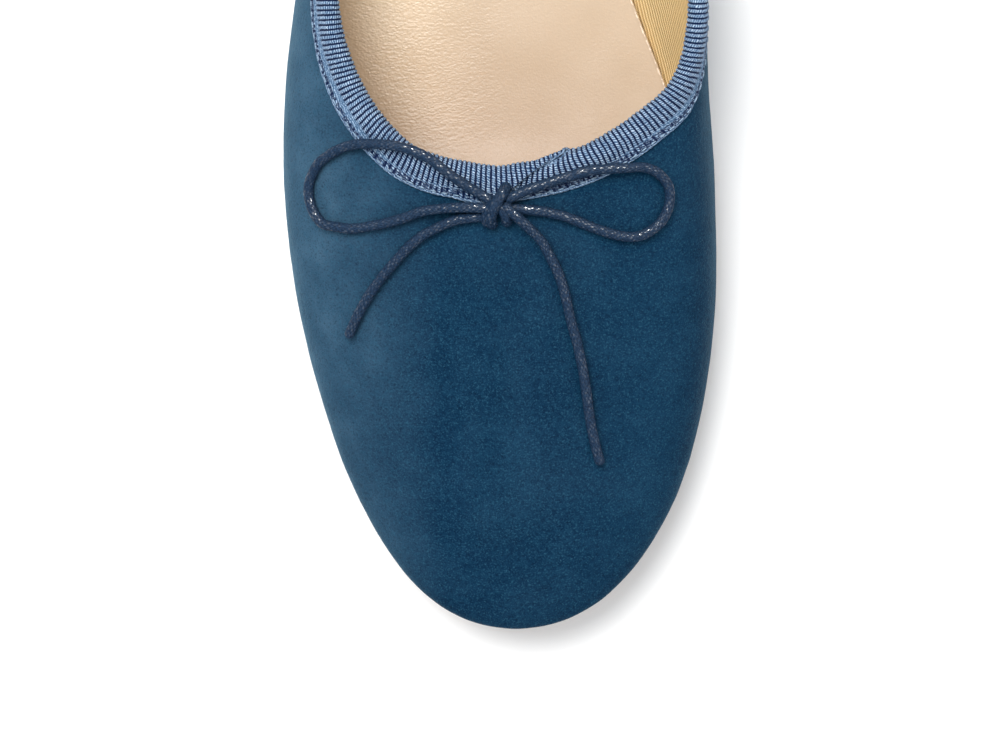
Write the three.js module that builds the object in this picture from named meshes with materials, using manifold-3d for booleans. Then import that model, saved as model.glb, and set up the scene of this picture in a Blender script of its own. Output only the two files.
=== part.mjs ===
// Ballet flat for the right foot, in millimetres.
// +Z is up, the toe points to -Y, the big-toe (medial) side is +X.
// The origin is on the floor, at the middle of the shoe's length and width.
import * as THREE from 'three';
import { mergeVertices } from 'three/addons/utils/BufferGeometryUtils.js';
import Module from 'manifold-3d';

const wasm = await Module();
wasm.setup();

// Last
const LENGTH = 250;          // toe tip to heel back
const BALL_WIDTH = 85.6;     // widest line of the upper, side to side
const INSTEP = 38.6;         // throat of the upper above the sole's top
const TOE_SPRING = 6;        // lift of the sole's tip above the floor
const HEEL_HEIGHT = 8;       // sole's underside above the floor at the heel

// Walls and clearances
const GAP = 0.3;             // between pieces that lie on each other
const UPPER_WALL = 1.6;      // suede and lining together
const LASTING_MARGIN = 7;    // upper turned in over the outsole
const OUTSOLE_THICKNESS = 3;
const OUTSOLE_EDGE = 1.2;    // outsole beyond the feather line
const OUTSOLE_BEVEL = 0.8;
const INSOLE_THICKNESS = 2;
const INSOLE_CLEARANCE = 0.5; // insole's edge inside the upper's wall
const LIFT_THICKNESS = 2.2;  // top lift under the heel block
const HEEL_BREAST = 190;     // heel's front edge, from the toe tip
const BREAST_HOLLOW = 6;     // how far the heel's front edge curves back
const HEEL_SETBACK = 0.4;    // heel inside the outsole's edge

// Ribbon folded over the topline, with the drawstring's casing at the fold
const RIBBON_THICKNESS = 0.5;
const RIBBON_OUTSIDE = 5.8;  // down the outside of the upper
const RIBBON_INSIDE = 4.6;   // down the inside
const CASING_WIDTH = 2.8;    // casing below the upper's edge
const CASING_CREST = 1.4;    // casing above the upper's edge
const CASING_SWELL = 0.35;   // casing beyond the flat ribbon
const CASING_TAPER = 0.6;    // from the casing to the flat ribbon
const RIBBON_FOLD = 2.4;     // from the upper's edge to the casing's stitch line

// Cord of the bow
const CORD_DIAMETER = 1.9;
const CORD_STEP = 2.2;       // length of a straight stretch, in cord diameters
const CORD_SIDES = 8;

// How finely the shoe is cut up
const STATIONS = 64;         // round the shoe, even, so that each side has its twin

// Where the sole leaves the floor, as shares of the length from the toe tip
const SPRING_END_SHARE = 0.22;
const ARCH_START_SHARE = 0.38;
const ARCH_END_SHARE = 0.74;

// The last, one row for each section round the shoe, from the toe tip by the medial side to the heel
// and back by the lateral side.
//   x, y: widest line, as shares of half the ball width and of the length from the toe tip
//   inset: feather line inside the widest line, share of half the ball width
//   rise, shoulder, topRise: heights above the sole's top, shares of the instep
//   swell: roundness between the feather line and the widest line
//   topX, topY: the upper's edge, in the shares of x and y
const ROW_COLUMNS = ['x', 'y', 'inset', 'rise', 'shoulder', 'swell', 'topX', 'topY', 'topRise'];
const ROWS = {
  toe:            [0.079, 0.000, 0.105, 0.233, 0.420, 0.55, 0.019, 0.3540, 1.000],
  medialToe1:     [0.463, 0.022, 0.105, 0.241, 0.451, 0.55, 0.140, 0.3564, 1.000],
  medialToe2:     [0.762, 0.085, 0.105, 0.259, 0.544, 0.55, 0.271, 0.3608, 1.000],
  medialVamp1:    [0.923, 0.164, 0.103, 0.285, 0.653, 0.55, 0.407, 0.3684, 0.999],
  medialVamp2:    [0.994, 0.256, 0.105, 0.311, 0.731, 0.55, 0.551, 0.3812, 0.994],
  medialBall:     [0.990, 0.348, 0.117, 0.350, 0.790, 0.50, 0.710, 0.4008, 0.981],
  medialWaist1:   [0.963, 0.424, 0.201, 0.440, 0.798, 0.42, 0.864, 0.4280, 0.953],
  medialWaist2:   [0.946, 0.496, 0.350, 0.544, 0.756, 0.34, 0.936, 0.4900, 0.899],
  medialArch1:    [0.895, 0.584, 0.428, 0.544, 0.674, 0.30, 0.888, 0.5840, 0.808],
  medialArch2:    [0.815, 0.676, 0.334, 0.440, 0.606, 0.34, 0.799, 0.6780, 0.741],
  medialQuarter1: [0.766, 0.780, 0.210, 0.350, 0.614, 0.42, 0.729, 0.7800, 0.782],
  medialQuarter2: [0.722, 0.880, 0.159, 0.324, 0.718, 0.50, 0.654, 0.8740, 0.907],
  medialHeel:     [0.572, 0.954, 0.131, 0.324, 0.795, 0.55, 0.486, 0.9440, 1.010],
  heel:           [0.023, 1.000, 0.124, 0.337, 0.834, 0.55, 0.023, 0.9816, 1.054],
  lateralHeel:    [-0.537, 0.954, 0.126, 0.324, 0.795, 0.55, -0.449, 0.9440, 1.010],
  lateralQuarter2: [-0.687, 0.880, 0.112, 0.324, 0.718, 0.55, -0.612, 0.8740, 0.907],
  lateralQuarter1: [-0.729, 0.780, 0.121, 0.337, 0.614, 0.50, -0.668, 0.7800, 0.782],
  lateralWaist4:  [-0.790, 0.676, 0.147, 0.350, 0.554, 0.50, -0.692, 0.6780, 0.741],
  lateralWaist3:  [-0.864, 0.584, 0.154, 0.363, 0.570, 0.50, -0.720, 0.5840, 0.808],
  lateralWaist2:  [-0.932, 0.496, 0.131, 0.350, 0.591, 0.52, -0.745, 0.4920, 0.896],
  lateralWaist1:  [-0.982, 0.424, 0.117, 0.337, 0.707, 0.55, -0.664, 0.4360, 0.959],
  lateralBall:    [-0.991, 0.348, 0.107, 0.324, 0.769, 0.55, -0.558, 0.4040, 0.982],
  lateralVamp2:   [-0.930, 0.256, 0.105, 0.311, 0.718, 0.55, -0.442, 0.3800, 0.997],
  lateralVamp1:   [-0.792, 0.164, 0.103, 0.285, 0.645, 0.55, -0.332, 0.3664, 1.000],
  lateralToe2:    [-0.600, 0.085, 0.105, 0.259, 0.544, 0.55, -0.222, 0.3596, 1.000],
  lateralToe1:    [-0.306, 0.022, 0.105, 0.241, 0.451, 0.55, -0.105, 0.3560, 1.000],
};

// Share of the way to the shoulder point where each end's direction is held
const RISE_HOLD_SHARE = 0.8;
const TOP_HOLD_SHARE = 0.6;

// Routes of the bow's cords, just above the vamp and the ribbon: x, y, z in mm.
// Loops start and end at the knot; tails start at it.
const LOOP_LATERAL = [
  [-2.3, -40.6, 43.4], [-4.6, -39.2, 43.8], [-6.9, -37.7, 44.5], [-9.4, -35.8, 44.7], [-12.3, -33.7, 44.8],
  [-15.7, -32.2, 44.8], [-19.2, -31.4, 44.3], [-23.3, -31.0, 42.8], [-27.3, -31.2, 40.6], [-30.9, -32.5, 38.4],
  [-33.6, -34.3, 36.5], [-35.3, -36.9, 34.8], [-36.0, -39.7, 33.8], [-35.2, -43.2, 33.7], [-33.2, -45.9, 34.5],
  [-30.6, -46.9, 35.7], [-27.0, -47.4, 37.2], [-22.5, -46.8, 38.8], [-17.6, -45.7, 40.2], [-13.5, -44.2, 41.4],
  [-9.7, -43.4, 42.4], [-5.6, -43.2, 43.0], [-2.5, -43.3, 43.2],
];
const LOOP_MEDIAL = [
  [4.5, -41.0, 43.3], [7.0, -39.9, 43.4], [9.9, -38.8, 43.5], [13.7, -37.5, 43.5], [17.7, -36.3, 43.5],
  [22.0, -35.7, 42.9], [25.8, -35.5, 42.0], [29.2, -35.6, 40.7], [31.7, -36.7, 39.4], [33.6, -39.0, 38.0],
  [33.7, -42.4, 37.1], [32.6, -45.2, 37.0], [30.1, -47.6, 37.5], [27.2, -48.7, 38.2], [23.8, -48.4, 39.0],
  [20.4, -47.4, 39.8], [17.0, -46.1, 40.4], [13.6, -44.8, 41.0], [10.4, -44.1, 41.5], [7.2, -43.7, 41.8],
  [4.9, -43.5, 41.9],
];
const TAIL_LATERAL = [
  [-2.5, -45.0, 41.6], [-6.2, -45.4, 41.4], [-9.3, -46.4, 41.0], [-12.6, -48.2, 40.2], [-15.7, -50.6, 39.3],
  [-18.7, -53.7, 38.1], [-21.3, -56.6, 36.8], [-23.9, -60.0, 35.3], [-26.0, -63.4, 33.7], [-27.9, -66.9, 32.0],
  [-28.3, -67.8, 31.6],
];
const TAIL_MEDIAL = [
  [3.9, -44.2, 43.9], [5.3, -45.5, 43.3], [7.0, -47.0, 42.4], [9.5, -49.8, 41.0], [11.4, -53.2, 39.8],
  [12.9, -56.6, 38.8], [14.0, -60.6, 37.8], [15.1, -64.8, 36.8], [16.4, -69.2, 35.7], [17.4, -74.2, 34.5],
  [18.1, -79.0, 33.3], [18.6, -84.0, 32.1], [19.3, -88.5, 30.9], [20.3, -92.4, 29.8],
];
const KNOT_WRAP = [
  [1.9, -39.8, 43.3], [1.6, -40.8, 44.2], [1.0, -42.3, 44.9], [0.4, -43.8, 44.8], [-0.1, -45.2, 43.7],
  [-0.5, -46.5, 42.3], [-0.8, -47.5, 41.4],
];
const KNOT_STUB = [
  [2.3, -43.4, 42.8], [2.5, -44.8, 42.6], [2.4, -46.1, 41.9], [2.2, -47.4, 41.3],
];
const KNOT_CORE = { centre: [0.9, -43.0, 43.0], radii: [2.1, 2.4, 1.3] };

const HALF_WIDTH = BALL_WIDTH / 2;
const rows = Object.values(ROWS);
const column = (name) => rows.map((row) => row[ROW_COLUMNS.indexOf(name)]);

// Smooth closed curve through a ring of values: the spline's weights are found by relaxing
function closedSpline(values) {
  const count = values.length;
  let weights = values.slice();
  for (let pass = 0; pass < 50; pass += 1) {
    weights = weights.map((weight, i) => {
      const before = weights[(i + count - 1) % count];
      const after = weights[(i + 1) % count];
      return weight + values[i] - (before + 4 * weight + after) / 6;
    });
  }
  return (u) => {
    const wrapped = ((u % count) + count) % count;
    const i = Math.floor(wrapped);
    const t = wrapped - i;
    const at = (k) => weights[(i + k + count) % count];
    return ((1 - t) ** 3 * at(-1)
      + (3 * t ** 3 - 6 * t ** 2 + 4) * at(0)
      + (-3 * t ** 3 + 3 * t ** 2 + 3 * t + 1) * at(1)
      + t ** 3 * at(2)) / 6;
  };
}

const curve = Object.fromEntries(ROW_COLUMNS.map((name) => [name, closedSpline(column(name))]));

// Position along Y of a share of the length from the toe tip
const alongY = (share) => (share - 0.5) * LENGTH;

// Height of the sole's underside: toe spring, flat tread, rise of the arch, level heel seat
function underside(y) {
  const share = y / LENGTH + 0.5;
  if (share < SPRING_END_SHARE) {
    return TOE_SPRING * (1 - Math.max(share, 0) / SPRING_END_SHARE) ** 2.2;
  }
  const t = Math.min(Math.max((share - ARCH_START_SHARE) / (ARCH_END_SHARE - ARCH_START_SHARE), 0), 1);
  return HEEL_HEIGHT * t * t * (3 - 2 * t);
}

const outsoleTop = (y) => underside(y) + OUTSOLE_THICKNESS;
const seat = (y) => outsoleTop(y) + GAP;

const widestX = (u) => curve.x(u) * HALF_WIDTH;
const widestY = (u) => alongY(curve.y(u));

// Outward direction in plan, square to the widest line
function outward(u) {
  const step = 0.01;
  const dx = widestX(u + step) - widestX(u - step);
  const dy = widestY(u + step) - widestY(u - step);
  const size = Math.hypot(dx, dy);
  return [dy / size, -dx / size];
}

// Point in plan at a distance outside the feather line
function featherPlan(u, outside) {
  const [nx, ny] = outward(u);
  const shift = outside - curve.inset(u) * HALF_WIDTH;
  return [widestX(u) + nx * shift, widestY(u) + ny * shift];
}

function bezier(a, b, c, d, t) {
  const s = 1 - t;
  return a.clone().multiplyScalar(s ** 3)
    .addScaledVector(b, 3 * s * s * t)
    .addScaledVector(c, 3 * s * t * t)
    .addScaledVector(d, t ** 3);
}

// Outer face of the upper. u goes round the shoe by rows;
// v is 0 at the feather line, 1 at the widest line and 2 at the topline.
function upperFace(u, v) {
  const x = widestX(u);
  const y = widestY(u);
  const widest = new THREE.Vector3(x, y, seat(y) + curve.rise(u) * INSTEP);
  if (v < 1) {
    const [fx, fy] = featherPlan(u, 0);
    const feather = new THREE.Vector3(fx, fy, seat(fy));
    const corner = new THREE.Vector3(x, y, seat(fy));
    const swell = curve.swell(u);
    return bezier(
      feather,
      feather.clone().lerp(corner, swell),
      widest.clone().lerp(corner, swell),
      widest,
      v,
    );
  }
  const topY = alongY(curve.topY(u));
  const top = new THREE.Vector3(curve.topX(u) * HALF_WIDTH, topY, seat(topY) + curve.topRise(u) * INSTEP);
  const shoulder = new THREE.Vector3(x, y, seat(y) + curve.shoulder(u) * INSTEP);
  return bezier(
    widest,
    widest.clone().lerp(shoulder, RISE_HOLD_SHARE),
    top.clone().lerp(shoulder, TOP_HOLD_SHARE),
    top,
    v - 1,
  );
}

// Directions on the outer face: along the rib towards the topline, and outward
function faceFrame(u, v) {
  const step = 0.004;
  const low = Math.min(Math.max(v - step, 0), 2 - 2 * step);
  const round = upperFace(u + 0.02, v).sub(upperFace(u - 0.02, v));
  const up = upperFace(u, low + 2 * step).sub(upperFace(u, low)).normalize();
  return { up, out: round.cross(up).normalize() };
}

// The outer face moved outwards by a distance, or inwards by a negative one
function offsetFace(u, v, distance) {
  return upperFace(u, v).addScaledVector(faceFrame(u, v).out, distance);
}

// The v of a point on the rib at a distance below the topline
function belowTop(u, distance) {
  const step = 0.005;
  let left = distance;
  let v = 2;
  while (v > 1) {
    const length = upperFace(u, v).distanceTo(upperFace(u, v - step));
    if (length >= left) {
      return v - step * left / length;
    }
    left -= length;
    v -= step;
  }
  return v;
}

// The v at which the upper's inner face is at a height above the seat
function innerAtHeight(u, height) {
  let v = 1;
  while (v > 0.05) {
    const point = offsetFace(u, v, -UPPER_WALL);
    if (point.z < seat(point.y) + height) {
      break;
    }
    v -= 0.005;
  }
  return v;
}

// Closed solid from rings of equally many points round the shoe.
// Two solids that lie on each other take opposite leans, so that their facets match.
function ringSolid(profileAt, points, lean) {
  const positions = [];
  const faces = [];
  for (let i = 0; i < STATIONS; i += 1) {
    profileAt(i * rows.length / STATIONS).forEach((p) => positions.push(p.x, p.y, p.z));
  }
  for (let i = 0; i < STATIONS; i += 1) {
    const next = (i + 1) % STATIONS;
    for (let k = 0; k < points; k += 1) {
      const after = (k + 1) % points;
      const a = i * points + k;
      const b = next * points + k;
      const c = next * points + after;
      const d = i * points + after;
      faces.push(...(lean ? [a, b, d, b, c, d] : [a, b, c, a, c, d]));
    }
  }
  return solid(positions, faces);
}

// Closed plate: one ring for each level from below to above, capped by strips from side to side
function plate(levels) {
  const positions = [];
  const faces = [];
  const half = STATIONS / 2;
  for (const level of levels) {
    for (let i = 0; i < STATIONS; i += 1) {
      positions.push(...level(i * rows.length / STATIONS));
    }
  }
  for (let level = 0; level + 1 < levels.length; level += 1) {
    for (let i = 0; i < STATIONS; i += 1) {
      const a = level * STATIONS + i;
      const b = level * STATIONS + (i + 1) % STATIONS;
      faces.push(a, b, b + STATIONS, a, b + STATIONS, a + STATIONS);
    }
  }
  const cap = (base, upwards) => {
    const add = (a, b, c) => {
      const triangle = [base + a, base + b, base + c];
      faces.push(...(upwards ? triangle : triangle.reverse()));
    };
    add(0, 1, STATIONS - 1);
    for (let i = 1; i < half - 1; i += 1) {
      add(i, i + 1, STATIONS - i - 1);
      add(i, STATIONS - i - 1, STATIONS - i);
    }
    add(half - 1, half, half + 1);
  };
  cap(0, false);
  cap((levels.length - 1) * STATIONS, true);
  return solid(positions, faces);
}

function solid(positions, faces) {
  const geometry = new THREE.BufferGeometry();
  geometry.setAttribute('position', new THREE.Float32BufferAttribute(positions, 3));
  geometry.setIndex(faces);
  return geometry;
}

// Upper: outer face up, edge, inner face down, lasting margin turned in over the outsole.
// Under the ribbon both follow the same lines, so that their faces stay parallel.
const LOWER_STEPS = [0, 0.2, 0.4, 0.6, 0.8];
const UPPER_STEPS = [0, 0.11, 0.23, 0.36, 0.51, 0.68, 0.85, 1];
const INNER_STEPS = [0.25, 0.5, 0.75, 1];

function upperProfile(u) {
  const ribbonEnd = belowTop(u, RIBBON_OUTSIDE + GAP);
  const upperSteps = [
    ...UPPER_STEPS.map((share) => 1 + share * (ribbonEnd - 1)),
    belowTop(u, RIBBON_FOLD),
    2,
  ];
  const floorV = innerAtHeight(u, UPPER_WALL);
  const innerSteps = [
    ...upperSteps.slice().reverse(),
    ...INNER_STEPS.map((share) => 1 - share * (1 - floorV)),
  ];
  const [mx, my] = featherPlan(u, -LASTING_MARGIN);
  return [
    ...[...LOWER_STEPS, ...upperSteps].map((v) => upperFace(u, v)),
    ...innerSteps.map((v) => offsetFace(u, v, -UPPER_WALL)),
    new THREE.Vector3(mx, my, seat(my) + UPPER_WALL),
    new THREE.Vector3(mx, my, seat(my)),
  ];
}

// Ribbon: distance down from the upper's edge, and distance out from its outer face
const OUT = GAP + RIBBON_THICKNESS;
const IN = -UPPER_WALL - GAP - RIBBON_THICKNESS;
const MIDDLE = -UPPER_WALL / 2;
const RIBBON_PROFILE = [
  [RIBBON_OUTSIDE, OUT],
  [CASING_WIDTH + CASING_TAPER, OUT],
  [RIBBON_FOLD, OUT + CASING_SWELL * 0.8],
  [CASING_WIDTH * 0.35, OUT + CASING_SWELL],
  [-CASING_CREST * 0.25, OUT + CASING_SWELL * 0.4],
  [-CASING_CREST * 0.8, GAP * 0.8],
  [-CASING_CREST, MIDDLE],
  [-CASING_CREST * 0.8, -UPPER_WALL - GAP * 0.8],
  [-CASING_CREST * 0.25, IN - CASING_SWELL * 0.4],
  [CASING_WIDTH * 0.35, IN - CASING_SWELL],
  [RIBBON_FOLD, IN - CASING_SWELL * 0.8],
  [CASING_WIDTH + CASING_TAPER, IN],
  [RIBBON_INSIDE, IN],
  [RIBBON_INSIDE, -UPPER_WALL - GAP],
  [RIBBON_FOLD, -UPPER_WALL - GAP],
  [-GAP, -UPPER_WALL - GAP],
  [-GAP, GAP],
  [RIBBON_FOLD, GAP],
  [RIBBON_OUTSIDE, GAP],
];

function ribbonProfile(u) {
  return RIBBON_PROFILE.map(([down, out]) => {
    if (down < 0) {
      const { up } = faceFrame(u, 2);
      return offsetFace(u, 2, out).addScaledVector(up, -down);
    }
    return offsetFace(u, belowTop(u, down), out);
  });
}

// Level of a plate: the feather line's outline at a distance, and a height for each place
const level = (outside, height) => (u) => {
  const [x, y] = featherPlan(u, outside);
  return [x, y, height(y)];
};

const upperGeometry = ringSolid(upperProfile, upperProfile(0).length, false);
const ribbonGeometry = ringSolid(ribbonProfile, RIBBON_PROFILE.length, true);

const outsoleGeometry = plate([
  level(OUTSOLE_EDGE - OUTSOLE_BEVEL, underside),
  level(OUTSOLE_EDGE, (y) => underside(y) + OUTSOLE_BEVEL),
  level(OUTSOLE_EDGE, outsoleTop),
]);

const shelf = (y) => seat(y) + UPPER_WALL + GAP;
const insoleLevel = (height) => (u) => {
  const wall = offsetFace(u, innerAtHeight(u, UPPER_WALL + GAP), -UPPER_WALL);
  const [nx, ny] = outward(u);
  const x = wall.x - nx * INSOLE_CLEARANCE;
  const y = wall.y - ny * INSOLE_CLEARANCE;
  return [x, y, height(y)];
};
const insoleGeometry = plate([
  level(-LASTING_MARGIN - GAP, seat),
  level(-LASTING_MARGIN - GAP, shelf),
  insoleLevel(shelf),
  insoleLevel((y) => shelf(y) + INSOLE_THICKNESS),
]);

// Heel: outline of the outsole behind the breast, closed by the curved breast
function heelShape() {
  const points = [];
  const breast = HEEL_BREAST - LENGTH / 2;
  const steps = STATIONS * 2;
  for (let i = 0; i < steps; i += 1) {
    const [x, y] = featherPlan(i * rows.length / steps, OUTSOLE_EDGE - HEEL_SETBACK);
    if (y > breast) {
      points.push([x, y]);
    }
  }
  const shape = new THREE.Shape();
  points.forEach(([x, y], i) => (i === 0 ? shape.moveTo(x, y) : shape.lineTo(x, y)));
  const [x0, y0] = points[points.length - 1];
  const [x1, y1] = points[0];
  shape.quadraticCurveTo((x0 + x1) / 2, (y0 + y1) / 2 + 2 * BREAST_HOLLOW, x1, y1);
  return shape;
}

function heelPiece(bottom, top) {
  const options = { depth: top - bottom, bevelEnabled: false, curveSegments: 10 };
  const geometry = new THREE.ExtrudeGeometry(heelShape(), options);
  geometry.translate(0, 0, bottom);
  return geometry;
}

// Cord along a route
function cord(route, step) {
  const path = new THREE.CatmullRomCurve3(route.map((p) => new THREE.Vector3(...p)), false, 'centripetal');
  const section = new THREE.Shape();
  for (let i = 0; i < CORD_SIDES; i += 1) {
    const angle = (i + 0.5) * 2 * Math.PI / CORD_SIDES;
    const x = Math.cos(angle) * CORD_DIAMETER / 2;
    const y = Math.sin(angle) * CORD_DIAMETER / 2;
    if (i === 0) {
      section.moveTo(x, y);
    } else {
      section.lineTo(x, y);
    }
  }
  const steps = Math.round(path.getLength() / (step * CORD_DIAMETER));
  return new THREE.ExtrudeGeometry(section, { steps, extrudePath: path, bevelEnabled: false });
}

function toManifold(geometry) {
  const bare = geometry.clone();
  bare.deleteAttribute('normal');
  bare.deleteAttribute('uv');
  const merged = mergeVertices(bare, 1e-4);
  return new wasm.Manifold(new wasm.Mesh({
    numProp: 3,
    vertProperties: merged.attributes.position.array,
    triVerts: new Uint32Array(merged.index.array),
  }));
}

function fromManifold(manifold) {
  const mesh = manifold.getMesh();
  return solid(Array.from(mesh.vertProperties), Array.from(mesh.triVerts));
}

// Knot: one turn of the cord over the crossing, and the end of the turn beneath it
const KNOT_STEP = 0.8;
const core = new THREE.SphereGeometry(1, 12, 8);
core.scale(...KNOT_CORE.radii);
core.translate(...KNOT_CORE.centre);
const knotGeometry = fromManifold(
  toManifold(cord(KNOT_WRAP, KNOT_STEP))
    .add(toManifold(cord(KNOT_STUB, KNOT_STEP)))
    .add(toManifold(core)),
);

const group = new THREE.Group();

function addPiece(name, geometry, colour, roughness) {
  const material = new THREE.MeshStandardMaterial({ color: colour, roughness, metalness: 0 });
  const mesh = new THREE.Mesh(geometry, material);
  mesh.name = name;
  group.add(mesh);
}

const CORD_COLOUR = 0x2b4258;
addPiece('outsole', outsoleGeometry, 0xa07a52, 0.7);
addPiece('heel_top_lift', heelPiece(0, LIFT_THICKNESS), 0x1c1b1a, 0.8);
addPiece('heel_block', heelPiece(LIFT_THICKNESS + GAP, HEEL_HEIGHT - GAP), 0x7a5636, 0.65);
addPiece('upper', upperGeometry, 0x1c4560, 0.95);
addPiece('topline_binding', ribbonGeometry, 0x5f7b95, 0.85);
addPiece('insole', insoleGeometry, 0xe3c9b0, 0.6);
addPiece('bow_knot', knotGeometry, CORD_COLOUR, 0.55);
addPiece('bow_loop_lateral', cord(LOOP_LATERAL, CORD_STEP), CORD_COLOUR, 0.55);
addPiece('bow_loop_medial', cord(LOOP_MEDIAL, CORD_STEP), CORD_COLOUR, 0.55);
addPiece('bow_tail_lateral', cord(TAIL_LATERAL, CORD_STEP), CORD_COLOUR, 0.55);
addPiece('bow_tail_medial', cord(TAIL_MEDIAL, CORD_STEP), CORD_COLOUR, 0.55);

export default group;
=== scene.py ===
import math

import bmesh
import bpy
import numpy as np
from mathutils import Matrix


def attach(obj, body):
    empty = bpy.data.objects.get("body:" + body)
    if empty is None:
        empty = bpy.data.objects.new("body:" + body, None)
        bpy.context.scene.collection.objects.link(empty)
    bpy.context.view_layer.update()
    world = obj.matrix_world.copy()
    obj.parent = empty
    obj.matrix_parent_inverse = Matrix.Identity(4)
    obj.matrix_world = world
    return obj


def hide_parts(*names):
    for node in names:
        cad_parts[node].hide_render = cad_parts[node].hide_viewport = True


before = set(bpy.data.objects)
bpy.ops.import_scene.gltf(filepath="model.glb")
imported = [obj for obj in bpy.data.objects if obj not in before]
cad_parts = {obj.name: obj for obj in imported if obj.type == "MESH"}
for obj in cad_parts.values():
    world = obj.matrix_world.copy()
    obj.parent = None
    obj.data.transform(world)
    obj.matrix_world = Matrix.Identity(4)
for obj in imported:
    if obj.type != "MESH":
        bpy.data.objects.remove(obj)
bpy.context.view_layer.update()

# Lengths are in millimetres up to the mesh builder, which turns them into metres
MM = 0.001

# Sizes of the last
LENGTH = 250
HALF_WIDTH = 42.8
INSTEP = 38.6
TOE_SPRING = 6
HEEL_HEIGHT = 8
SPRING_END_SHARE = 0.22
ARCH_START_SHARE = 0.38
ARCH_END_SHARE = 0.74
RISE_HOLD_SHARE = 0.8
TOP_HOLD_SHARE = 0.6

# Walls and clearances
GAP = 0.3
UPPER_WALL = 1.6
SUEDE = 1.0
LINING_GAP = 0.05
LASTING_MARGIN = 7
OUTSOLE_THICKNESS = 3
OUTSOLE_EDGE = 1.2
INSOLE_THICKNESS = 2
INSOLE_CLEARANCE = 0.5
LIFT_THICKNESS = 2.2
HEEL_BREAST = 190
BREAST_HOLLOW = 6
HEEL_SETBACK = 0.4

# Ribbon over the topline
RIBBON_THICKNESS = 0.5
RIBBON_OUTSIDE = 5.8
RIBBON_INSIDE = 4.6
CASING_WIDTH = 2.8
CASING_CREST = 1.4
CASING_SWELL = 0.35
CASING_TAPER = 0.6
RIBBON_FOLD = 2.4
RIB_PITCH = 0.955
RIB_HEIGHT = 0.34
RIB_STEPS = 6
EDGE_TURN = 0.5
RAIL_WIDTH = 0.24
LADDER_WIDTH = 1.30
THROAT_LADDER = 1.75
BAND_END = 2.45
STITCH_LINE = 5.1
STITCH_PITCH = 2.0

# The ribbon's lap beside the knot: down from the topline, and along it from the toe's middle
LAP_LINE = np.array([
    [-1.4, 14.3], [-1.1, 12.6], [-0.75, 10.8], [-0.1, 8.6],
    [1.0, 6.3], [2.6, 3.6], [4.2, 1.2], [5.9, -1.2],
])
LAP_WIDTH = 8.5
LAP_RAISE = 0.6
LAP_STEP = 0.16
LAP_ROLL = 0.45
LAP_UNDER = 0.15
LAP_FLOOR = -0.30
RIB_UNEVEN = 0.07
RIB_GATHER = 0.22
BAND_SINK = 0.12
EDGE_SCALLOP = 0.09
LAP_PRESSED = 0.42
LAP_KNUCKLE = 0.45
STITCH_RADIUS = 0.15
STITCH_SIDES = 8
STITCH_SHARE = (0.24, 0.76)
STITCH_POINTS = 9
STITCH_SUNK = 0.24
STITCH_ARCH = 0.26

# Cord
CORD_DIAMETER = 1.9
CORD_STEP = 0.16
CORD_SIDES = 40
BRAID_STRANDS = 8
BRAID_PITCH = 1.3
BRAID_RELIEF = 0.09
BRAID_DRIFT = 0.30
BRAID_CREEP = 0.22
CORD_WOBBLE = 0.05
CORD_END = 0.55
KNOT_EXTRA = 0.12
KNOT_FRAY = 0.14
CORD_EXTRA = 0.02

# Suede relief
PULL_DEPTH = 0.32
SWELL_DEPTH = 0.16
FULLER_DEPTH = 0.09
RIPPLE_DEPTH = 0.045
PLEAT_DEPTH = 0.22
SEAM_DEPTH = 0.35

# Points in the meshes
NOISE_CELLS = 24
SPLINE_PASSES = 60
STATIONS = 560
PLATE_STATIONS = 320
HEEL_SIDES = 360
HEEL_LAYERS = 3
HEEL_CAP_SHARES = (1.0, 0.8, 0.6, 0.4, 0.2, 0.06)

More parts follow.
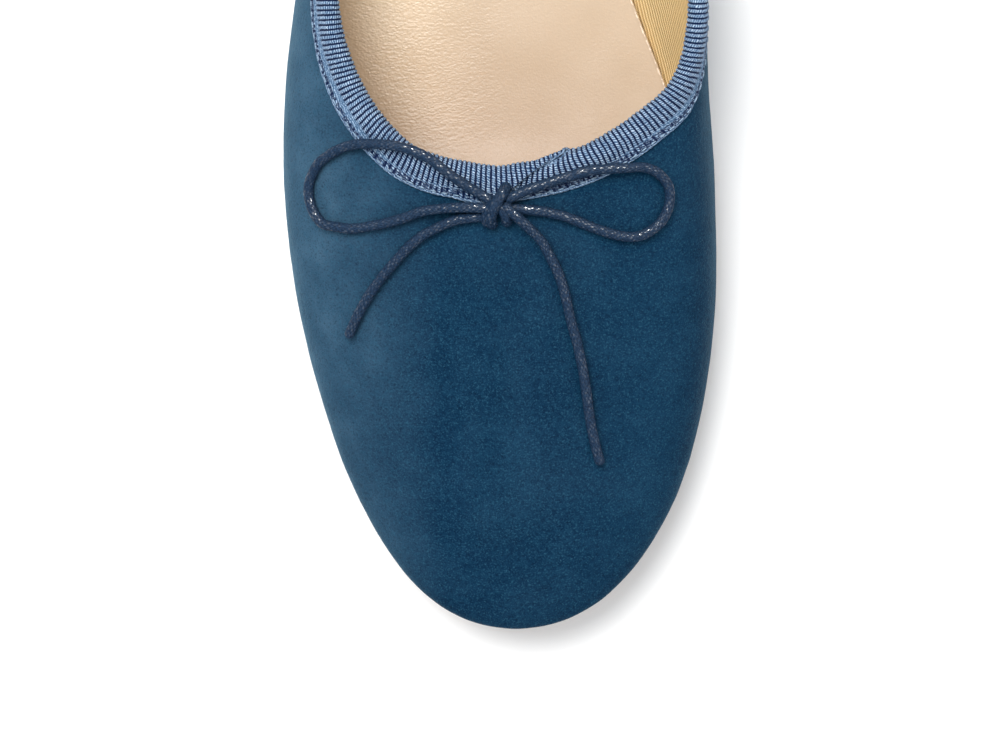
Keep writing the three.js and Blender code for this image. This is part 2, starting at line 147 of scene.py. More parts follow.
# The last, one row for each section round the shoe, from the toe tip by the medial side
# x, y: widest line; rise: its height; inset: feather line inside it; swell: fullness between the two
# topX, topY, topRise: topline; shoulder: height at which the wall turns in towards it
ROW_COLUMNS = ["x", "y", "inset", "rise", "shoulder", "swell", "topX", "topY", "topRise"]
ROWS = np.array([
    [0.079, 0.000, 0.105, 0.233, 0.420, 0.55, 0.019, 0.3540, 1.000],
    [0.463, 0.022, 0.105, 0.241, 0.451, 0.55, 0.140, 0.3564, 1.000],
    [0.762, 0.085, 0.105, 0.259, 0.544, 0.55, 0.271, 0.3608, 1.000],
    [0.923, 0.164, 0.103, 0.285, 0.653, 0.55, 0.407, 0.3684, 0.999],
    [0.994, 0.256, 0.105, 0.311, 0.731, 0.55, 0.551, 0.3812, 0.994],
    [0.990, 0.348, 0.117, 0.350, 0.790, 0.50, 0.710, 0.4008, 0.981],
    [0.963, 0.424, 0.201, 0.440, 0.798, 0.42, 0.864, 0.4280, 0.953],
    [0.946, 0.496, 0.350, 0.544, 0.756, 0.34, 0.936, 0.4900, 0.899],
    [0.895, 0.584, 0.428, 0.544, 0.674, 0.30, 0.888, 0.5840, 0.808],
    [0.815, 0.676, 0.334, 0.440, 0.606, 0.34, 0.799, 0.6780, 0.741],
    [0.766, 0.780, 0.210, 0.350, 0.614, 0.42, 0.729, 0.7800, 0.782],
    [0.722, 0.880, 0.159, 0.324, 0.718, 0.50, 0.654, 0.8740, 0.907],
    [0.572, 0.954, 0.131, 0.324, 0.795, 0.55, 0.486, 0.9440, 1.010],
    [0.023, 1.000, 0.124, 0.337, 0.834, 0.55, 0.023, 0.9816, 1.054],
    [-0.537, 0.954, 0.126, 0.324, 0.795, 0.55, -0.449, 0.9440, 1.010],
    [-0.687, 0.880, 0.112, 0.324, 0.718, 0.55, -0.612, 0.8740, 0.907],
    [-0.729, 0.780, 0.121, 0.337, 0.614, 0.50, -0.668, 0.7800, 0.782],
    [-0.790, 0.676, 0.147, 0.350, 0.554, 0.50, -0.692, 0.6780, 0.741],
    [-0.864, 0.584, 0.154, 0.363, 0.570, 0.50, -0.720, 0.5840, 0.808],
    [-0.932, 0.496, 0.131, 0.350, 0.591, 0.52, -0.745, 0.4920, 0.896],
    [-0.982, 0.424, 0.117, 0.337, 0.707, 0.55, -0.664, 0.4360, 0.959],
    [-0.991, 0.348, 0.107, 0.324, 0.769, 0.55, -0.558, 0.4040, 0.982],
    [-0.930, 0.256, 0.105, 0.311, 0.718, 0.55, -0.442, 0.3800, 0.997],
    [-0.792, 0.164, 0.103, 0.285, 0.645, 0.55, -0.332, 0.3664, 1.000],
    [-0.600, 0.085, 0.105, 0.259, 0.544, 0.55, -0.222, 0.3596, 1.000],
    [-0.306, 0.022, 0.105, 0.241, 0.451, 0.55, -0.105, 0.3560, 1.000],
])
ROW_COUNT = len(ROWS)
HEEL_ROW = 13

# Routes of the bow's cords. Loops start and end at the knot; tails start at it.
LOOP_LATERAL = [
    [-2.3, -40.6, 43.4], [-4.6, -39.2, 43.8], [-6.9, -37.7, 44.5], [-9.4, -35.8, 44.7],
    [-12.3, -33.7, 44.8], [-15.7, -32.2, 44.8], [-19.2, -31.4, 44.3], [-23.3, -31.0, 42.8],
    [-27.3, -31.2, 40.6], [-30.9, -32.5, 38.4], [-33.6, -34.3, 36.5], [-35.3, -36.9, 34.8],
    [-36.0, -39.7, 33.8], [-35.2, -43.2, 33.7], [-33.2, -45.9, 34.5], [-30.6, -46.6, 35.7],
    [-27.0, -47.0, 37.2], [-22.5, -46.4, 38.8], [-17.6, -45.3, 40.2], [-13.5, -43.9, 41.4],
    [-9.7, -43.4, 42.4], [-5.6, -43.2, 43.0], [-2.5, -43.3, 43.2],
]
LOOP_MEDIAL = [
    [4.5, -41.0, 43.3], [7.0, -39.9, 43.4], [9.9, -38.9, 43.5], [13.7, -37.7, 43.5],
    [17.7, -36.5, 43.5], [22.0, -35.9, 42.9], [25.8, -35.7, 42.0], [29.2, -35.6, 40.7],
    [31.7, -36.7, 39.4], [33.6, -39.0, 38.0], [33.7, -42.4, 37.1], [32.6, -45.2, 37.0],
    [30.1, -47.6, 37.5], [27.2, -48.7, 38.2], [23.8, -48.4, 39.0], [20.4, -47.4, 39.8],
    [17.0, -46.1, 40.4], [13.6, -44.8, 41.0], [10.4, -44.1, 41.5], [7.2, -43.7, 41.8],
    [4.9, -43.5, 41.9],
]
TAIL_LATERAL = [
    [-2.5, -45.0, 41.6], [-6.2, -45.4, 41.4], [-9.3, -46.4, 41.0], [-12.8, -48.1, 40.2],
    [-15.9, -50.4, 39.3], [-18.9, -53.5, 38.1], [-21.5, -56.4, 36.8], [-24.1, -59.8, 35.3],
    [-26.2, -63.3, 33.7], [-28.0, -66.8, 32.0], [-28.3, -67.8, 31.6],
]
TAIL_MEDIAL = [
    [3.9, -44.2, 43.9], [5.3, -45.5, 43.3], [7.0, -47.0, 42.4], [9.5, -49.8, 41.0],
    [11.4, -53.2, 39.8], [12.9, -56.6, 38.8], [14.0, -60.6, 37.8], [14.9, -64.9, 36.8],
    [16.1, -69.3, 35.7], [17.1, -74.3, 34.5], [17.8, -79.1, 33.3], [18.4, -84.0, 32.1],
    [19.3, -88.5, 30.9], [20.3, -92.4, 29.8],
]
KNOT_WRAP = [
    [2.9, -38.9, 41.9], [2.6, -39.6, 43.2], [2.1, -40.6, 44.4], [1.4, -41.8, 45.0], [0.7, -43.0, 45.0],
    [0.2, -44.2, 44.4], [-0.1, -45.3, 43.4], [-0.1, -46.1, 42.2], [0.2, -46.4, 41.0],
]
KNOT_TUCK = [
    [0.8, -42.2, 44.0], [0.0, -43.2, 43.8], [-0.8, -44.3, 43.3], [-1.1, -45.4, 42.4], [-0.9, -46.2, 41.2],
]
KNOT_STUB = [
    [1.5, -42.7, 43.6], [2.0, -43.7, 43.7], [2.6, -44.7, 43.3], [2.9, -45.5, 42.4], [2.7, -46.1, 41.2],
]
KNOT_CORE = [
    [-0.9, -42.4, 43.0], [0.2, -42.7, 43.2], [1.4, -43.0, 43.2], [2.6, -43.0, 42.9], [3.4, -43.0, 42.5],
]
# The cords' hidden ends inside the knot
KNOT_CENTRE = {
    "bow_loop_lateral": ([0.1, -42.0, 43.3], [-0.4, -43.5, 43.1]),
    "bow_loop_medial": ([2.6, -41.9, 43.1], [2.9, -43.3, 41.9]),
    "bow_tail_lateral": ([-0.7, -44.9, 41.8], None),
    "bow_tail_medial": ([2.2, -42.8, 44.0], None),
}


def add_object(name, data):
    added = bpy.data.objects.new(name, data)
    bpy.context.scene.collection.objects.link(added)
    return added


# Camera: where it stood over the pair, turned to the one shoe
camera_data = bpy.data.cameras.new("camera")
camera_data.lens = 152.7
camera_data.sensor_width = 36
camera_data.clip_start = 0.01
camera = add_object("camera", camera_data)
camera.location = (0.046, -0.074, 0.850)
camera.rotation_euler = (0, math.radians(3.15), 0)
bpy.context.scene.camera = camera


# Smooth noise in space, the same in each run
def noise_at(points, size, seed):
    table = np.random.default_rng(seed).random((NOISE_CELLS,) * 3)
    places = np.asarray(points, float) / size
    cell = np.floor(places).astype(int)
    part = places - cell
    part = part * part * (3 - 2 * part)
    total = 0
    for dx in (0, 1):
        for dy in (0, 1):
            for dz in (0, 1):
                corner = (dx, dy, dz)
                weight = np.where(corner, part, 1 - part).prod(axis=-1)
                spots = (cell + corner) % NOISE_CELLS
                total = total + weight * table[spots[..., 0], spots[..., 1], spots[..., 2]]
    return total * 2 - 1


def smooth(low, high, value):
    t = np.clip((value - low) / (high - low), 0, 1)
    return t * t * (3 - 2 * t)


def hump(value, centre, half_width):
    t = np.clip(np.abs((value - centre) / half_width), 0, 1)
    return (1 - t * t) ** 2


# Surface of the shoe
def spline_weights(values):
    weights = values.copy()
    for _ in range(SPLINE_PASSES):
        weights = weights + values - (np.roll(weights, 1) + 4 * weights + np.roll(weights, -1)) / 6
    return weights


WEIGHTS = {name: spline_weights(ROWS[:, i]) for i, name in enumerate(ROW_COLUMNS)}


def ring_value(name, u):
    wrapped = np.mod(u, ROW_COUNT)
    i = np.floor(wrapped).astype(int)
    t = wrapped - i
    weights = WEIGHTS[name]
    at = [weights[(i + k) % ROW_COUNT] for k in (-1, 0, 1, 2)]
    return (
        (1 - t) ** 3 * at[0]
        + (3 * t**3 - 6 * t**2 + 4) * at[1]
        + (-3 * t**3 + 3 * t**2 + 3 * t + 1) * at[2]
        + t**3 * at[3]
    ) / 6


def underside(y):
    share = y / LENGTH + 0.5
    spring = TOE_SPRING * np.clip(1 - np.maximum(share, 0) / SPRING_END_SHARE, 0, 1) ** 2.2
    return spring + HEEL_HEIGHT * smooth(ARCH_START_SHARE, ARCH_END_SHARE, share)


def seat(y):
    return underside(y) + OUTSOLE_THICKNESS + GAP


def widest(u):
    return ring_value("x", u) * HALF_WIDTH, (ring_value("y", u) - 0.5) * LENGTH


def outward(u):
    x0, y0 = widest(u - 0.01)
    x1, y1 = widest(u + 0.01)
    size = np.hypot(x1 - x0, y1 - y0)
    return (y1 - y0) / size, -(x1 - x0) / size


def feather_plan(u, outside):
    x, y = widest(u)
    nx, ny = outward(u)
    shift = outside - ring_value("inset", u) * HALF_WIDTH
    return x + nx * shift, y + ny * shift


def bezier(a, b, c, d, t):
    s = 1 - t
    return a * s**3 + 3 * b * s * s * t + 3 * c * s * t * t + d * t**3


# Outer face of the upper: v is 0 at the feather line, 1 at the widest line, 2 at the topline
def face(u, v):
    u, v = np.broadcast_arrays(np.asarray(u, float), np.asarray(v, float))
    x, y = widest(u)
    fx, fy = feather_plan(u, 0)
    wide = np.stack([x, y, seat(y) + ring_value("rise", u) * INSTEP], -1)
    feather = np.stack([fx, fy, seat(fy)], -1)
    corner = np.stack([x, y, seat(fy)], -1)
    swell = ring_value("swell", u)[..., None]
    t = v[..., None]
    feather_hold = feather + (corner - feather) * swell
    low = bezier(feather, feather_hold, wide + (corner - wide) * swell, wide, t)
    top_y = (ring_value("topY", u) - 0.5) * LENGTH
    top_z = seat(top_y) + ring_value("topRise", u) * INSTEP
    top = np.stack([ring_value("topX", u) * HALF_WIDTH, top_y, top_z], -1)
    shoulder = np.stack([x, y, seat(y) + ring_value("shoulder", u) * INSTEP], -1)
    rise_hold = wide + (shoulder - wide) * RISE_HOLD_SHARE
    top_hold = top + (shoulder - top) * TOP_HOLD_SHARE
    high = bezier(wide, rise_hold, top_hold, top, t - 1)
    return np.where(t < 1, low, high)


def unit(vectors):
    return vectors / np.linalg.norm(vectors, axis=-1, keepdims=True)


def face_frame(u, v):
    u, v = np.broadcast_arrays(np.asarray(u, float), np.asarray(v, float))
    low = np.clip(v - 0.004, 0, 1.992)
    round_shoe = face(u + 0.02, v) - face(u - 0.02, v)
    up = unit(face(u, low + 0.008) - face(u, low))
    return up, unit(np.cross(round_shoe, up))


def offset_face(u, v, distance):
    _, out = face_frame(u, v)
    return face(u, v) + out * np.asarray(distance, float)[..., None]


# Distance along lines of points from the first point of each
def reach_of(lines):
    steps = np.linalg.norm(np.diff(lines, axis=-2), axis=-1)
    return np.concatenate([np.zeros(steps.shape[:-1] + (1,)), np.cumsum(steps, axis=-1)], axis=-1)


# The v of points at distances down from the topline: one row for each station
def below_top(u, distances):
    steps = 2 - np.arange(160) * 0.005
    reach = reach_of(face(u[:, None], steps[None, :]))
    return np.array([np.interp(distances, reach[i], steps) for i in range(len(u))])


# The v at which the wall's inner face is at a height over the seat
def inner_at_height(u, height, wall=UPPER_WALL):
    steps = np.linspace(1, 0.05, 240)
    points = offset_face(u[:, None], steps[None, :], -wall)
    above = points[..., 2] - (seat(points[..., 1]) + height)
    first = np.where((above < 0).any(axis=1), np.argmax(above < 0, axis=1), len(steps) - 1)
    return steps[first]


# Mesh from points in millimetres, its faces turned outwards; weave is a value at each face corner
def finish_mesh(name, points, faces, weave=None, merge=False):
    mesh = bpy.data.meshes.new(name)
    corners = points[faces]
    first, second, third = corners[:, 0], corners[:, 1], corners[:, 2]
    volume = np.einsum("ij,ij->", first, np.cross(second, third))
    if faces.shape[1] == 4:
        volume += np.einsum("ij,ij->", first, np.cross(third, corners[:, 3]))
    if volume < 0:
        faces = faces[:, ::-1]
        weave = None if weave is None else weave[:, ::-1]
    mesh.from_pydata((points * MM).tolist(), [], faces.tolist())
    if weave is not None:
        layer = mesh.attributes.new("weave", "FLOAT_VECTOR", "CORNER")
        layer.data.foreach_set("vector", weave.astype(np.float32).ravel())
    if merge:
        work = bmesh.new()
        work.from_mesh(mesh)
        bmesh.ops.remove_doubles(work, verts=work.verts, dist=1e-6)
        bmesh.ops.dissolve_degenerate(work, edges=work.edges, dist=1e-7)
        work.to_mesh(mesh)
        work.free()
    mesh.shade_smooth()
    return add_object(name, mesh)


def grid_faces(rows, columns, wrap_rows, wrap_columns, base=0):
    r, c = np.meshgrid(
        np.arange(rows if wrap_rows else rows - 1),
        np.arange(columns if wrap_columns else columns - 1),
        indexing="ij",
    )
    r, c = r.ravel(), c.ravel()
    spots = [(r, c), (r + 1, c), (r + 1, c + 1), (r, c + 1)]
    faces = np.stack([base + (a % rows) * columns + b % columns for a, b in spots], -1)
    return faces, spots


# Closed ring solid: points is stations by profile points; weave has one more row and column
def ring_solid(name, points, weave=None):
    rows, columns = points.shape[:2]
    faces, spots = grid_faces(rows, columns, True, True)
    corners = None if weave is None else np.stack([weave[a, b] for a, b in spots], 1)
    return finish_mesh(name, points.reshape(-1, 3), faces, corners)


# Faces that close a ring of an even count of points
def ring_cap(start, count):
    k = np.arange(count // 2 - 1)
    return start + np.stack([k, k + 1, count - k - 2, count - k - 1], -1)


# Closed piece: side rings from bottom to top, and two caps of rows from side to side or of rings
def plate(name, side, bottom, top, round_caps=False):
    levels, count = side.shape[:2]
    points = [side.reshape(-1, 3)]
    faces, _ = grid_faces(levels, count, False, True)
    all_faces = [faces]
    base = levels * count
    for cap, is_top in ((bottom, False), (top, True)):
        rows, columns = cap.shape[:2]
        faces, _ = grid_faces(rows, columns, False, round_caps, base)
        if round_caps:
            faces = np.concatenate([faces, ring_cap(base + (rows - 1) * columns, columns)])
        all_faces.append(faces if is_top == round_caps else faces[:, ::-1])
        points.append(cap.reshape(-1, 3))
        base += rows * columns
    return finish_mesh(name, np.concatenate(points), np.concatenate(all_faces), merge=True)


# Rows of points from the medial outline to the lateral outline, the ends drawn together
def across(outline, columns):
    count = len(outline)
    half = count // 2
    medial = outline[: half + 1]
    lateral = outline[(-np.arange(half + 1)) % count]
    share = (1 - np.cos(np.linspace(0, math.pi, columns))) / 2
    return medial[:, None] + (lateral - medial)[:, None] * share[None, :, None]


# Distance of the points in such rows from the outline
def from_outline(rows):
    return np.minimum(
        np.linalg.norm(rows - rows[:, :1], axis=-1),
        np.linalg.norm(rows - rows[:, -1:], axis=-1),
    )


# Smooth line through a route, in even steps
def along_route(route, step):
    knots = np.array(route, float)
    knots = np.vstack([2 * knots[0] - knots[1], knots, 2 * knots[-1] - knots[-2]])
    line = []
    for i in range(1, len(knots) - 2):
        a, b, c, d = knots[i - 1 : i + 3]
        before, width, after = (np.linalg.norm(q - p) ** 0.5 for p, q in ((a, b), (b, c), (c, d)))
        start = ((b - a) / before - (c - a) / (before + width) + (c - b) / width) * width
        end = ((c - b) / width - (d - b) / (width + after) + (d - c) / after) * width
        t = np.linspace(0, 1, 24, endpoint=False)[:, None]
        line.append(
            (2 * t**3 - 3 * t**2 + 1) * b
            + (t**3 - 2 * t**2 + t) * start
            + (3 * t**2 - 2 * t**3) * c
            + (t**3 - t**2) * end
        )
    line = np.vstack(line + [knots[-2:-1]])
    reach = reach_of(line)
    count = max(int(round(reach[-1] / step)), 2)
    spots = np.linspace(0, reach[-1], count + 1)
    return np.stack([np.interp(spots, reach, line[:, k]) for k in range(3)], -1), reach[-1]


# Rings of points round a line, without twist
def rings_along(line, angles, radii):
    tangents = unit(np.gradient(line, axis=0))
    side = unit(np.cross(tangents[0], (0, 0, 1)))
    sides = []
    for tangent in tangents:
        side = unit(side - tangent * side.dot(tangent))
        sides.append(side)
    sides = np.array(sides)
    tops = np.cross(tangents, sides)
    rings = sides[:, None] * np.cos(angles)[:, None] + tops[:, None] * np.sin(angles)[:, None]
    return line[:, None] + rings * radii[..., None]


# Over-and-under relief of a round braid, from 0 in the grooves to 1 on the strands
def braid(angle, along):
    a = BRAID_STRANDS * angle / (2 * math.pi) + along / BRAID_PITCH
    b = BRAID_STRANDS * angle / (2 * math.pi) - along / BRAID_PITCH
    over = (np.floor(a) + np.floor(b)) % 2 == 0
    fa = 2 * (a - np.floor(a)) - 1
    fb = 2 * (b - np.floor(b)) - 1
    across_strand = np.where(over, fa, fb)
    along_strand = np.where(over, fb, fa)
    return np.sqrt(np.clip(1 - across_strand**2, 0, 1)) * (1 - 0.45 * along_strand**2)


# Braided cord round a line, and its weave: turns round it, distance along it and relief
def tube_points(line, radius, sides, turn=0.0, frayed=0.0):
    reach = reach_of(line)
    angles = np.arange(sides) * 2 * math.pi / sides
    angle_grid, reach_grid = np.meshgrid(angles, reach)

    def uneven(first, second, size, seed):
        return noise_at(np.stack([reach_grid * 0 + first, second, reach_grid / size], -1), 1.0, seed)

    drift = BRAID_DRIFT * uneven(7.7 + turn, np.cos(angle_grid), 3.1, 12)
    creep = BRAID_CREEP * uneven(2.2 + turn, np.sin(angle_grid), 1.7, 13)
    relief = braid(angle_grid + turn + drift, reach_grid + creep) - 1
    wobble = CORD_WOBBLE * uneven(3.1, np.cos(angle_grid), 2.2, 11)
    tufts = frayed * uneven(np.cos(angle_grid) * 1.7 + turn, np.sin(angle_grid) * 1.7, 0.55, 14)
    radii = radius + BRAID_RELIEF * (relief + 0.35) + wobble + tufts
    end = np.minimum(reach_grid, reach[-1] - reach_grid)
    radii = radii * (0.72 + 0.28 * np.sqrt(np.clip(end / CORD_END, 0, 1)))
    points = rings_along(line, angles, radii)
    weave = np.stack([
        np.concatenate([angle_grid + turn, angle_grid[:, :1] + turn + 2 * math.pi], 1) / (2 * math.pi),
        np.concatenate([reach_grid, reach_grid[:, :1]], 1),
        np.concatenate([relief, relief[:, :1]], 1) + 1,
    ], -1)
    return points, weave


# Tubes joined in one piece, each closed by a fan at its ends
def tubes(name, lines, radius, sides, turns, frayed=0.0):
    points, faces, weave = [], [], []
    base = 0
    for line, turn in zip(lines, turns):
        ring_points, ring_weave = tube_points(line, radius, sides, turn, frayed)
        rows = len(ring_points)
        tube_faces, spots = grid_faces(rows, sides, False, True, base)
        hub = base + rows * sides
        k = np.arange(sides)
        after = (k + 1) % sides
        last = base + (rows - 1) * sides
        start = np.stack([hub + 0 * k, base + after, base + k, hub + 0 * k], -1)
        finish = np.stack([hub + 1 + 0 * k, last + k, last + after, hub + 1 + 0 * k], -1)
        points += [ring_points.reshape(-1, 3), line[[0, -1]]]
        faces += [tube_faces, start[:, ::-1], finish[:, ::-1]]
        weave.append(np.stack([ring_weave[a, b] for a, b in spots], 1))
        weave += [np.tile(ring_weave[row, 0], (sides, 4, 1)) for row in (0, -1)]
        base += rows * sides + 2
    return finish_mesh(
        name, np.concatenate(points), np.concatenate(faces), np.concatenate(weave), merge=True
    )


# Shader nodes: colours are red, green and blue from 0 to 255, lengths are metres
def linear(red, green, blue):
    def channel(value):
        value = value / 255
        return value / 12.92 if value <= 0.04045 else ((value + 0.055) / 1.055) ** 2.4

    return (channel(red), channel(green), channel(blue), 1.0)


# A number or colour inside a material: sums, products and ramps of it become nodes
class Value:
    def __init__(self, shader, socket):
        self.shader = shader
        self.socket = socket

    def maths(self, operation, *others):
        return self.shader.node("ShaderNodeMath", enumerate((self, *others)), operation=operation)

    def __add__(self, other):
        return self.maths("ADD", other)

    def __sub__(self, other):
        return self.maths("SUBTRACT", other)

    def __mul__(self, other):
        return self.maths("MULTIPLY", other)

    def ramp(self, low, high, start=0.0, end=1.0):
        inputs = {"Value": self, "From Min": low, "From Max": high, "To Min": start, "To Max": end}
        return self.shader.node("ShaderNodeMapRange", inputs)


# The nodes of a material or of the world
class Shader:
    def __init__(self, owner, surface, place):
        owner.use_nodes = True
        self.owner = owner
        self.nodes = owner.node_tree.nodes
        self.links = owner.node_tree.links
        self.surface = self.nodes[surface]
        self.place = self.node("ShaderNodeTexCoord", output=place)

    def put(self, socket, value):
        if isinstance(value, Value):
            self.links.new(value.socket, socket)
        else:
            socket.default_value = value

    def node(self, kind, inputs=(), output=0, **settings):
        node = self.nodes.new(kind)
        for key, value in settings.items():
            setattr(node, key, value)
        for key, value in dict(inputs).items():
            self.put(node.inputs[key], value)
        return Value(self, node.outputs[output])

    def set(self, **values):
        for key, value in values.items():
            self.put(self.surface.inputs[key.replace("_", " ")], value)
        return self.owner

    def weave(self):
        return self.parts(self.node("ShaderNodeAttribute", output="Vector", attribute_name="weave"))

    def parts(self, vector):
        node = self.nodes.new("ShaderNodeSeparateXYZ")
        self.put(node.inputs[0], vector)
        return [Value(self, socket) for socket in node.outputs]

    def stretch(self, vector, scale, turn=(0, 0, 0)):
        return self.node("ShaderNodeMapping", {"Vector": vector, "Scale": scale, "Rotation": turn})

    def noise(self, size, detail=2.0, rough=0.5, distortion=0.0, at=None):
        inputs = {"Vector": at or self.place, "Scale": 1 / size, "Detail": detail}
        inputs.update({"Roughness": rough, "Distortion": distortion})
        return self.node("ShaderNodeTexNoise", inputs)

    def mix(self, share, first, second):
        node = self.nodes.new("ShaderNodeMix")
        node.data_type = "RGBA"
        for number, value in ((0, share), (6, first), (7, second)):
            self.put(node.inputs[number], linear(*value) if isinstance(value, tuple) else value)
        return Value(self, node.outputs[2])

    # From the first colour to the second as a value goes from low to high
    def blend(self, value, low, high, first, second, most=1.0):
        return self.mix(value.ramp(low, high, 0.0, most), first, second)

    def finish(self, tone, roughness, height, depth, strength, **values):
        normal = self.node("ShaderNodeBump", {"Height": height, "Distance": depth, "Strength": strength})
        return self.set(Base_Color=tone, Roughness=roughness, Normal=normal, **values)


def material_nodes(name):
    return Shader(bpy.data.materials.new(name), "Principled BSDF", "Object")


# Nap in fine light and dark fibres, over wide patches; painted light on the lateral side and a painted
# lighter band on the medial wall
def suede_material():
    s = material_nodes("suede")
    x, _, _ = s.parts(s.place)
    clouds = s.noise(0.026, 3.0, 0.55, 0.6)
    patches = s.noise(0.0075, 3.0, 0.55, 0.3)
    nap = s.noise(0.0010, 3.0, 0.7)
    fibre = s.noise(0.00034, 2.0, 0.6)
    # painted light: the lateral side is lighter, as if lit from the left, varied by the clouds
    lateral = x.ramp(-0.010, -0.039) + (clouds - 0.5) * 0.45
    # painted light: a lighter band on the steep medial wall, standing for sheen there
    medial = x.ramp(0.014, 0.030) * x.ramp(0.040, 0.035)
    tone = s.blend(clouds, 0.34, 0.66, (5, 38, 63), (7, 41, 66))
    tone = s.blend(lateral, 0.0, 1.0, tone, (54, 83, 105), 0.95)
    tone = s.mix(medial * 0.4, tone, (14, 52, 78))
    # the patches' own tone, painted paler towards the lateral side: painted light
    mottle_and_painted_light = s.blend(lateral, 0.1, 0.9, (24, 59, 84), (78, 109, 132))
    tone = s.blend(patches, 0.47, 0.70, tone, mottle_and_painted_light, 0.34)
    tone = s.blend(patches, 0.46, 0.28, tone, (4, 27, 50), 0.20)
    tone = s.blend(nap, 0.44, 0.72, tone, (26, 68, 92), 0.36)
    tone = s.blend(nap, 0.46, 0.28, tone, (3, 23, 44), 0.34)
    tone = s.blend(fibre, 0.54, 0.72, tone, (46, 90, 112), 0.50)
    tone = s.blend(fibre, 0.46, 0.30, tone, (2, 19, 38), 0.50)
    return s.finish(
        tone, 0.85, fibre * 0.5 + nap, 0.00025, 0.7, Specular_IOR_Level=0.03,
        Sheen_Weight=0.24, Sheen_Roughness=0.30, Sheen_Tint=linear(155, 195, 212),
    )


# From the ribbon's edge: a pale rail, a ladder of holes, a sewn band, then grooves between ribs of yarn;
# painted shade in the grooves and holes, painted highlights on the yarn
def ribbon_material():
    s = material_nodes("ribbon")
    rib, down, throat = s.weave()
    rib = rib + (s.noise(0.0009, 1.0) - 0.5) * 0.26
    phase = rib.maths("FRACT")
    from_middle = (phase - 0.5).maths("ABSOLUTE")
    from_edge = down - EDGE_TURN + (s.noise(0.0006, 1.0) - 0.5) * 0.45
    rail = from_edge.ramp(RAIL_WIDTH + 0.08, RAIL_WIDTH - 0.08)
    into_band = from_edge - throat.ramp(0.0, 1.0, LADDER_WIDTH, THROAT_LADDER)
    ladder = into_band.ramp(0.1, -0.1) * rail.ramp(1.0, 0.0)
    bead = s.node("ShaderNodeTexVoronoi", {"Vector": s.place, "Scale": 1150.0}, feature="DISTANCE_TO_EDGE")
    bead_gap = bead.ramp(0.22, 0.10) * s.noise(0.0009, 1.0).ramp(0.32, 0.42)
    past_band = into_band - throat.ramp(0.0, 1.0, BAND_END - LADDER_WIDTH, 0.12)
    band = into_band.ramp(-0.10, 0.10) * past_band.ramp(0.16, -0.16)
    closed = (band * 0.95).maths("MAXIMUM", rail)
    gate = s.noise(0.0010, 1.0).ramp(0.34, 0.46, 0.25, 1.0)
    hole = from_middle.ramp(0.20, 0.31) * gate * ladder
    groove = from_middle.ramp(0.25, 0.36) * ladder.ramp(1.0, 0.0)
    # painted shade: dark in the grooves between ribs, in the ladder's holes and between its beads
    painted_shade_in_gaps = groove.maths("MAXIMUM", hole) * closed.ramp(0.0, 1.0, 1.0, 0.0)
    painted_shade_in_gaps = painted_shade_in_gaps.maths("MAXIMUM", ladder * bead_gap * 0.8)
    jitter = s.noise(0.0011, 1.0) * 1.3
    yarn_at = down * 2.15 + phase * 0.7 + jitter + rib.maths("FLOOR") * 0.37
    yarn = (yarn_at * (2 * math.pi)).maths("SINE")
    speck = s.noise(0.00032, 2.0, 0.7)
    patch = s.noise(0.0022, 2.0, 0.6)
    # painted highlights: pale dashes on the yarn, mixed with the yarn's own speckle and patches of tone
    lit = yarn * closed.ramp(0.0, 1.0, 0.34, 0.24) + (speck + patch * 0.3)
    tone = s.blend(lit, 0.30, 0.98, (38, 68, 104), (134, 162, 192))
    tone = s.blend(lit, 0.86, 1.12, tone, (200, 216, 234), 0.9)
    tone = s.mix(band * speck.ramp(0.38, 0.60, 0.85, 0.0), tone, (56, 90, 120))
    tone = s.mix(painted_shade_in_gaps, tone, (1, 22, 58))
    height = yarn * 0.4 + speck * 0.8 - painted_shade_in_gaps * 0.8
    return s.finish(
        tone, 0.80, height, 0.00009, 0.8, Specular_IOR_Level=0.08, Sheen_Weight=0.04, Sheen_Roughness=0.5
    )


def thread_material():
    s = material_nodes("thread")
    fine = s.noise(0.00025, 2.0, 0.6)
    tone = s.blend(fine, 0.35, 0.7, (80, 108, 136), (136, 164, 188))
    return s.finish(tone, 0.6, fine, 0.00004, 0.8)


# Painted shade in the grooves between the strands, and wax that shines on their crowns, with a faint
# painted glint in their colour
def cord_material():
    s = material_nodes("cord")
    turn, along, strand = s.weave()
    fibre_place = s.node("ShaderNodeCombineXYZ", {0: turn * 30.0, 1: along * 2.2})
    long_fibre = s.noise(1.0, 2.0, 0.6, at=fibre_place)
    speck = s.noise(0.0003, 3.0, 0.7)
    patch = s.noise(0.0009, 2.0, 0.6)
    tone = s.blend(long_fibre, 0.3, 0.72, (5, 23, 45), (34, 60, 88))
    # painted shade: darker in the grooves between the strands
    tone = s.blend(strand, 0.58, 0.12, tone, (1, 6, 18), 0.6)
    wax_and_painted_glint = strand.ramp(0.62, 0.92) * patch.ramp(0.48, 0.56)
    # painted glint: a faint pale tone on the waxed crowns; the same mask gives them their real coat
    tone = s.mix(wax_and_painted_glint * 0.05, tone, (130, 142, 150))
    return s.finish(
        tone, 0.60, speck + long_fibre * 0.9, 0.00016, 1.0, Specular_IOR_Level=0.08,
        Coat_Weight=wax_and_painted_glint.ramp(0.0, 1.0, 0.02, 1.0), Coat_Roughness=0.24, Coat_IOR=1.6,
    )
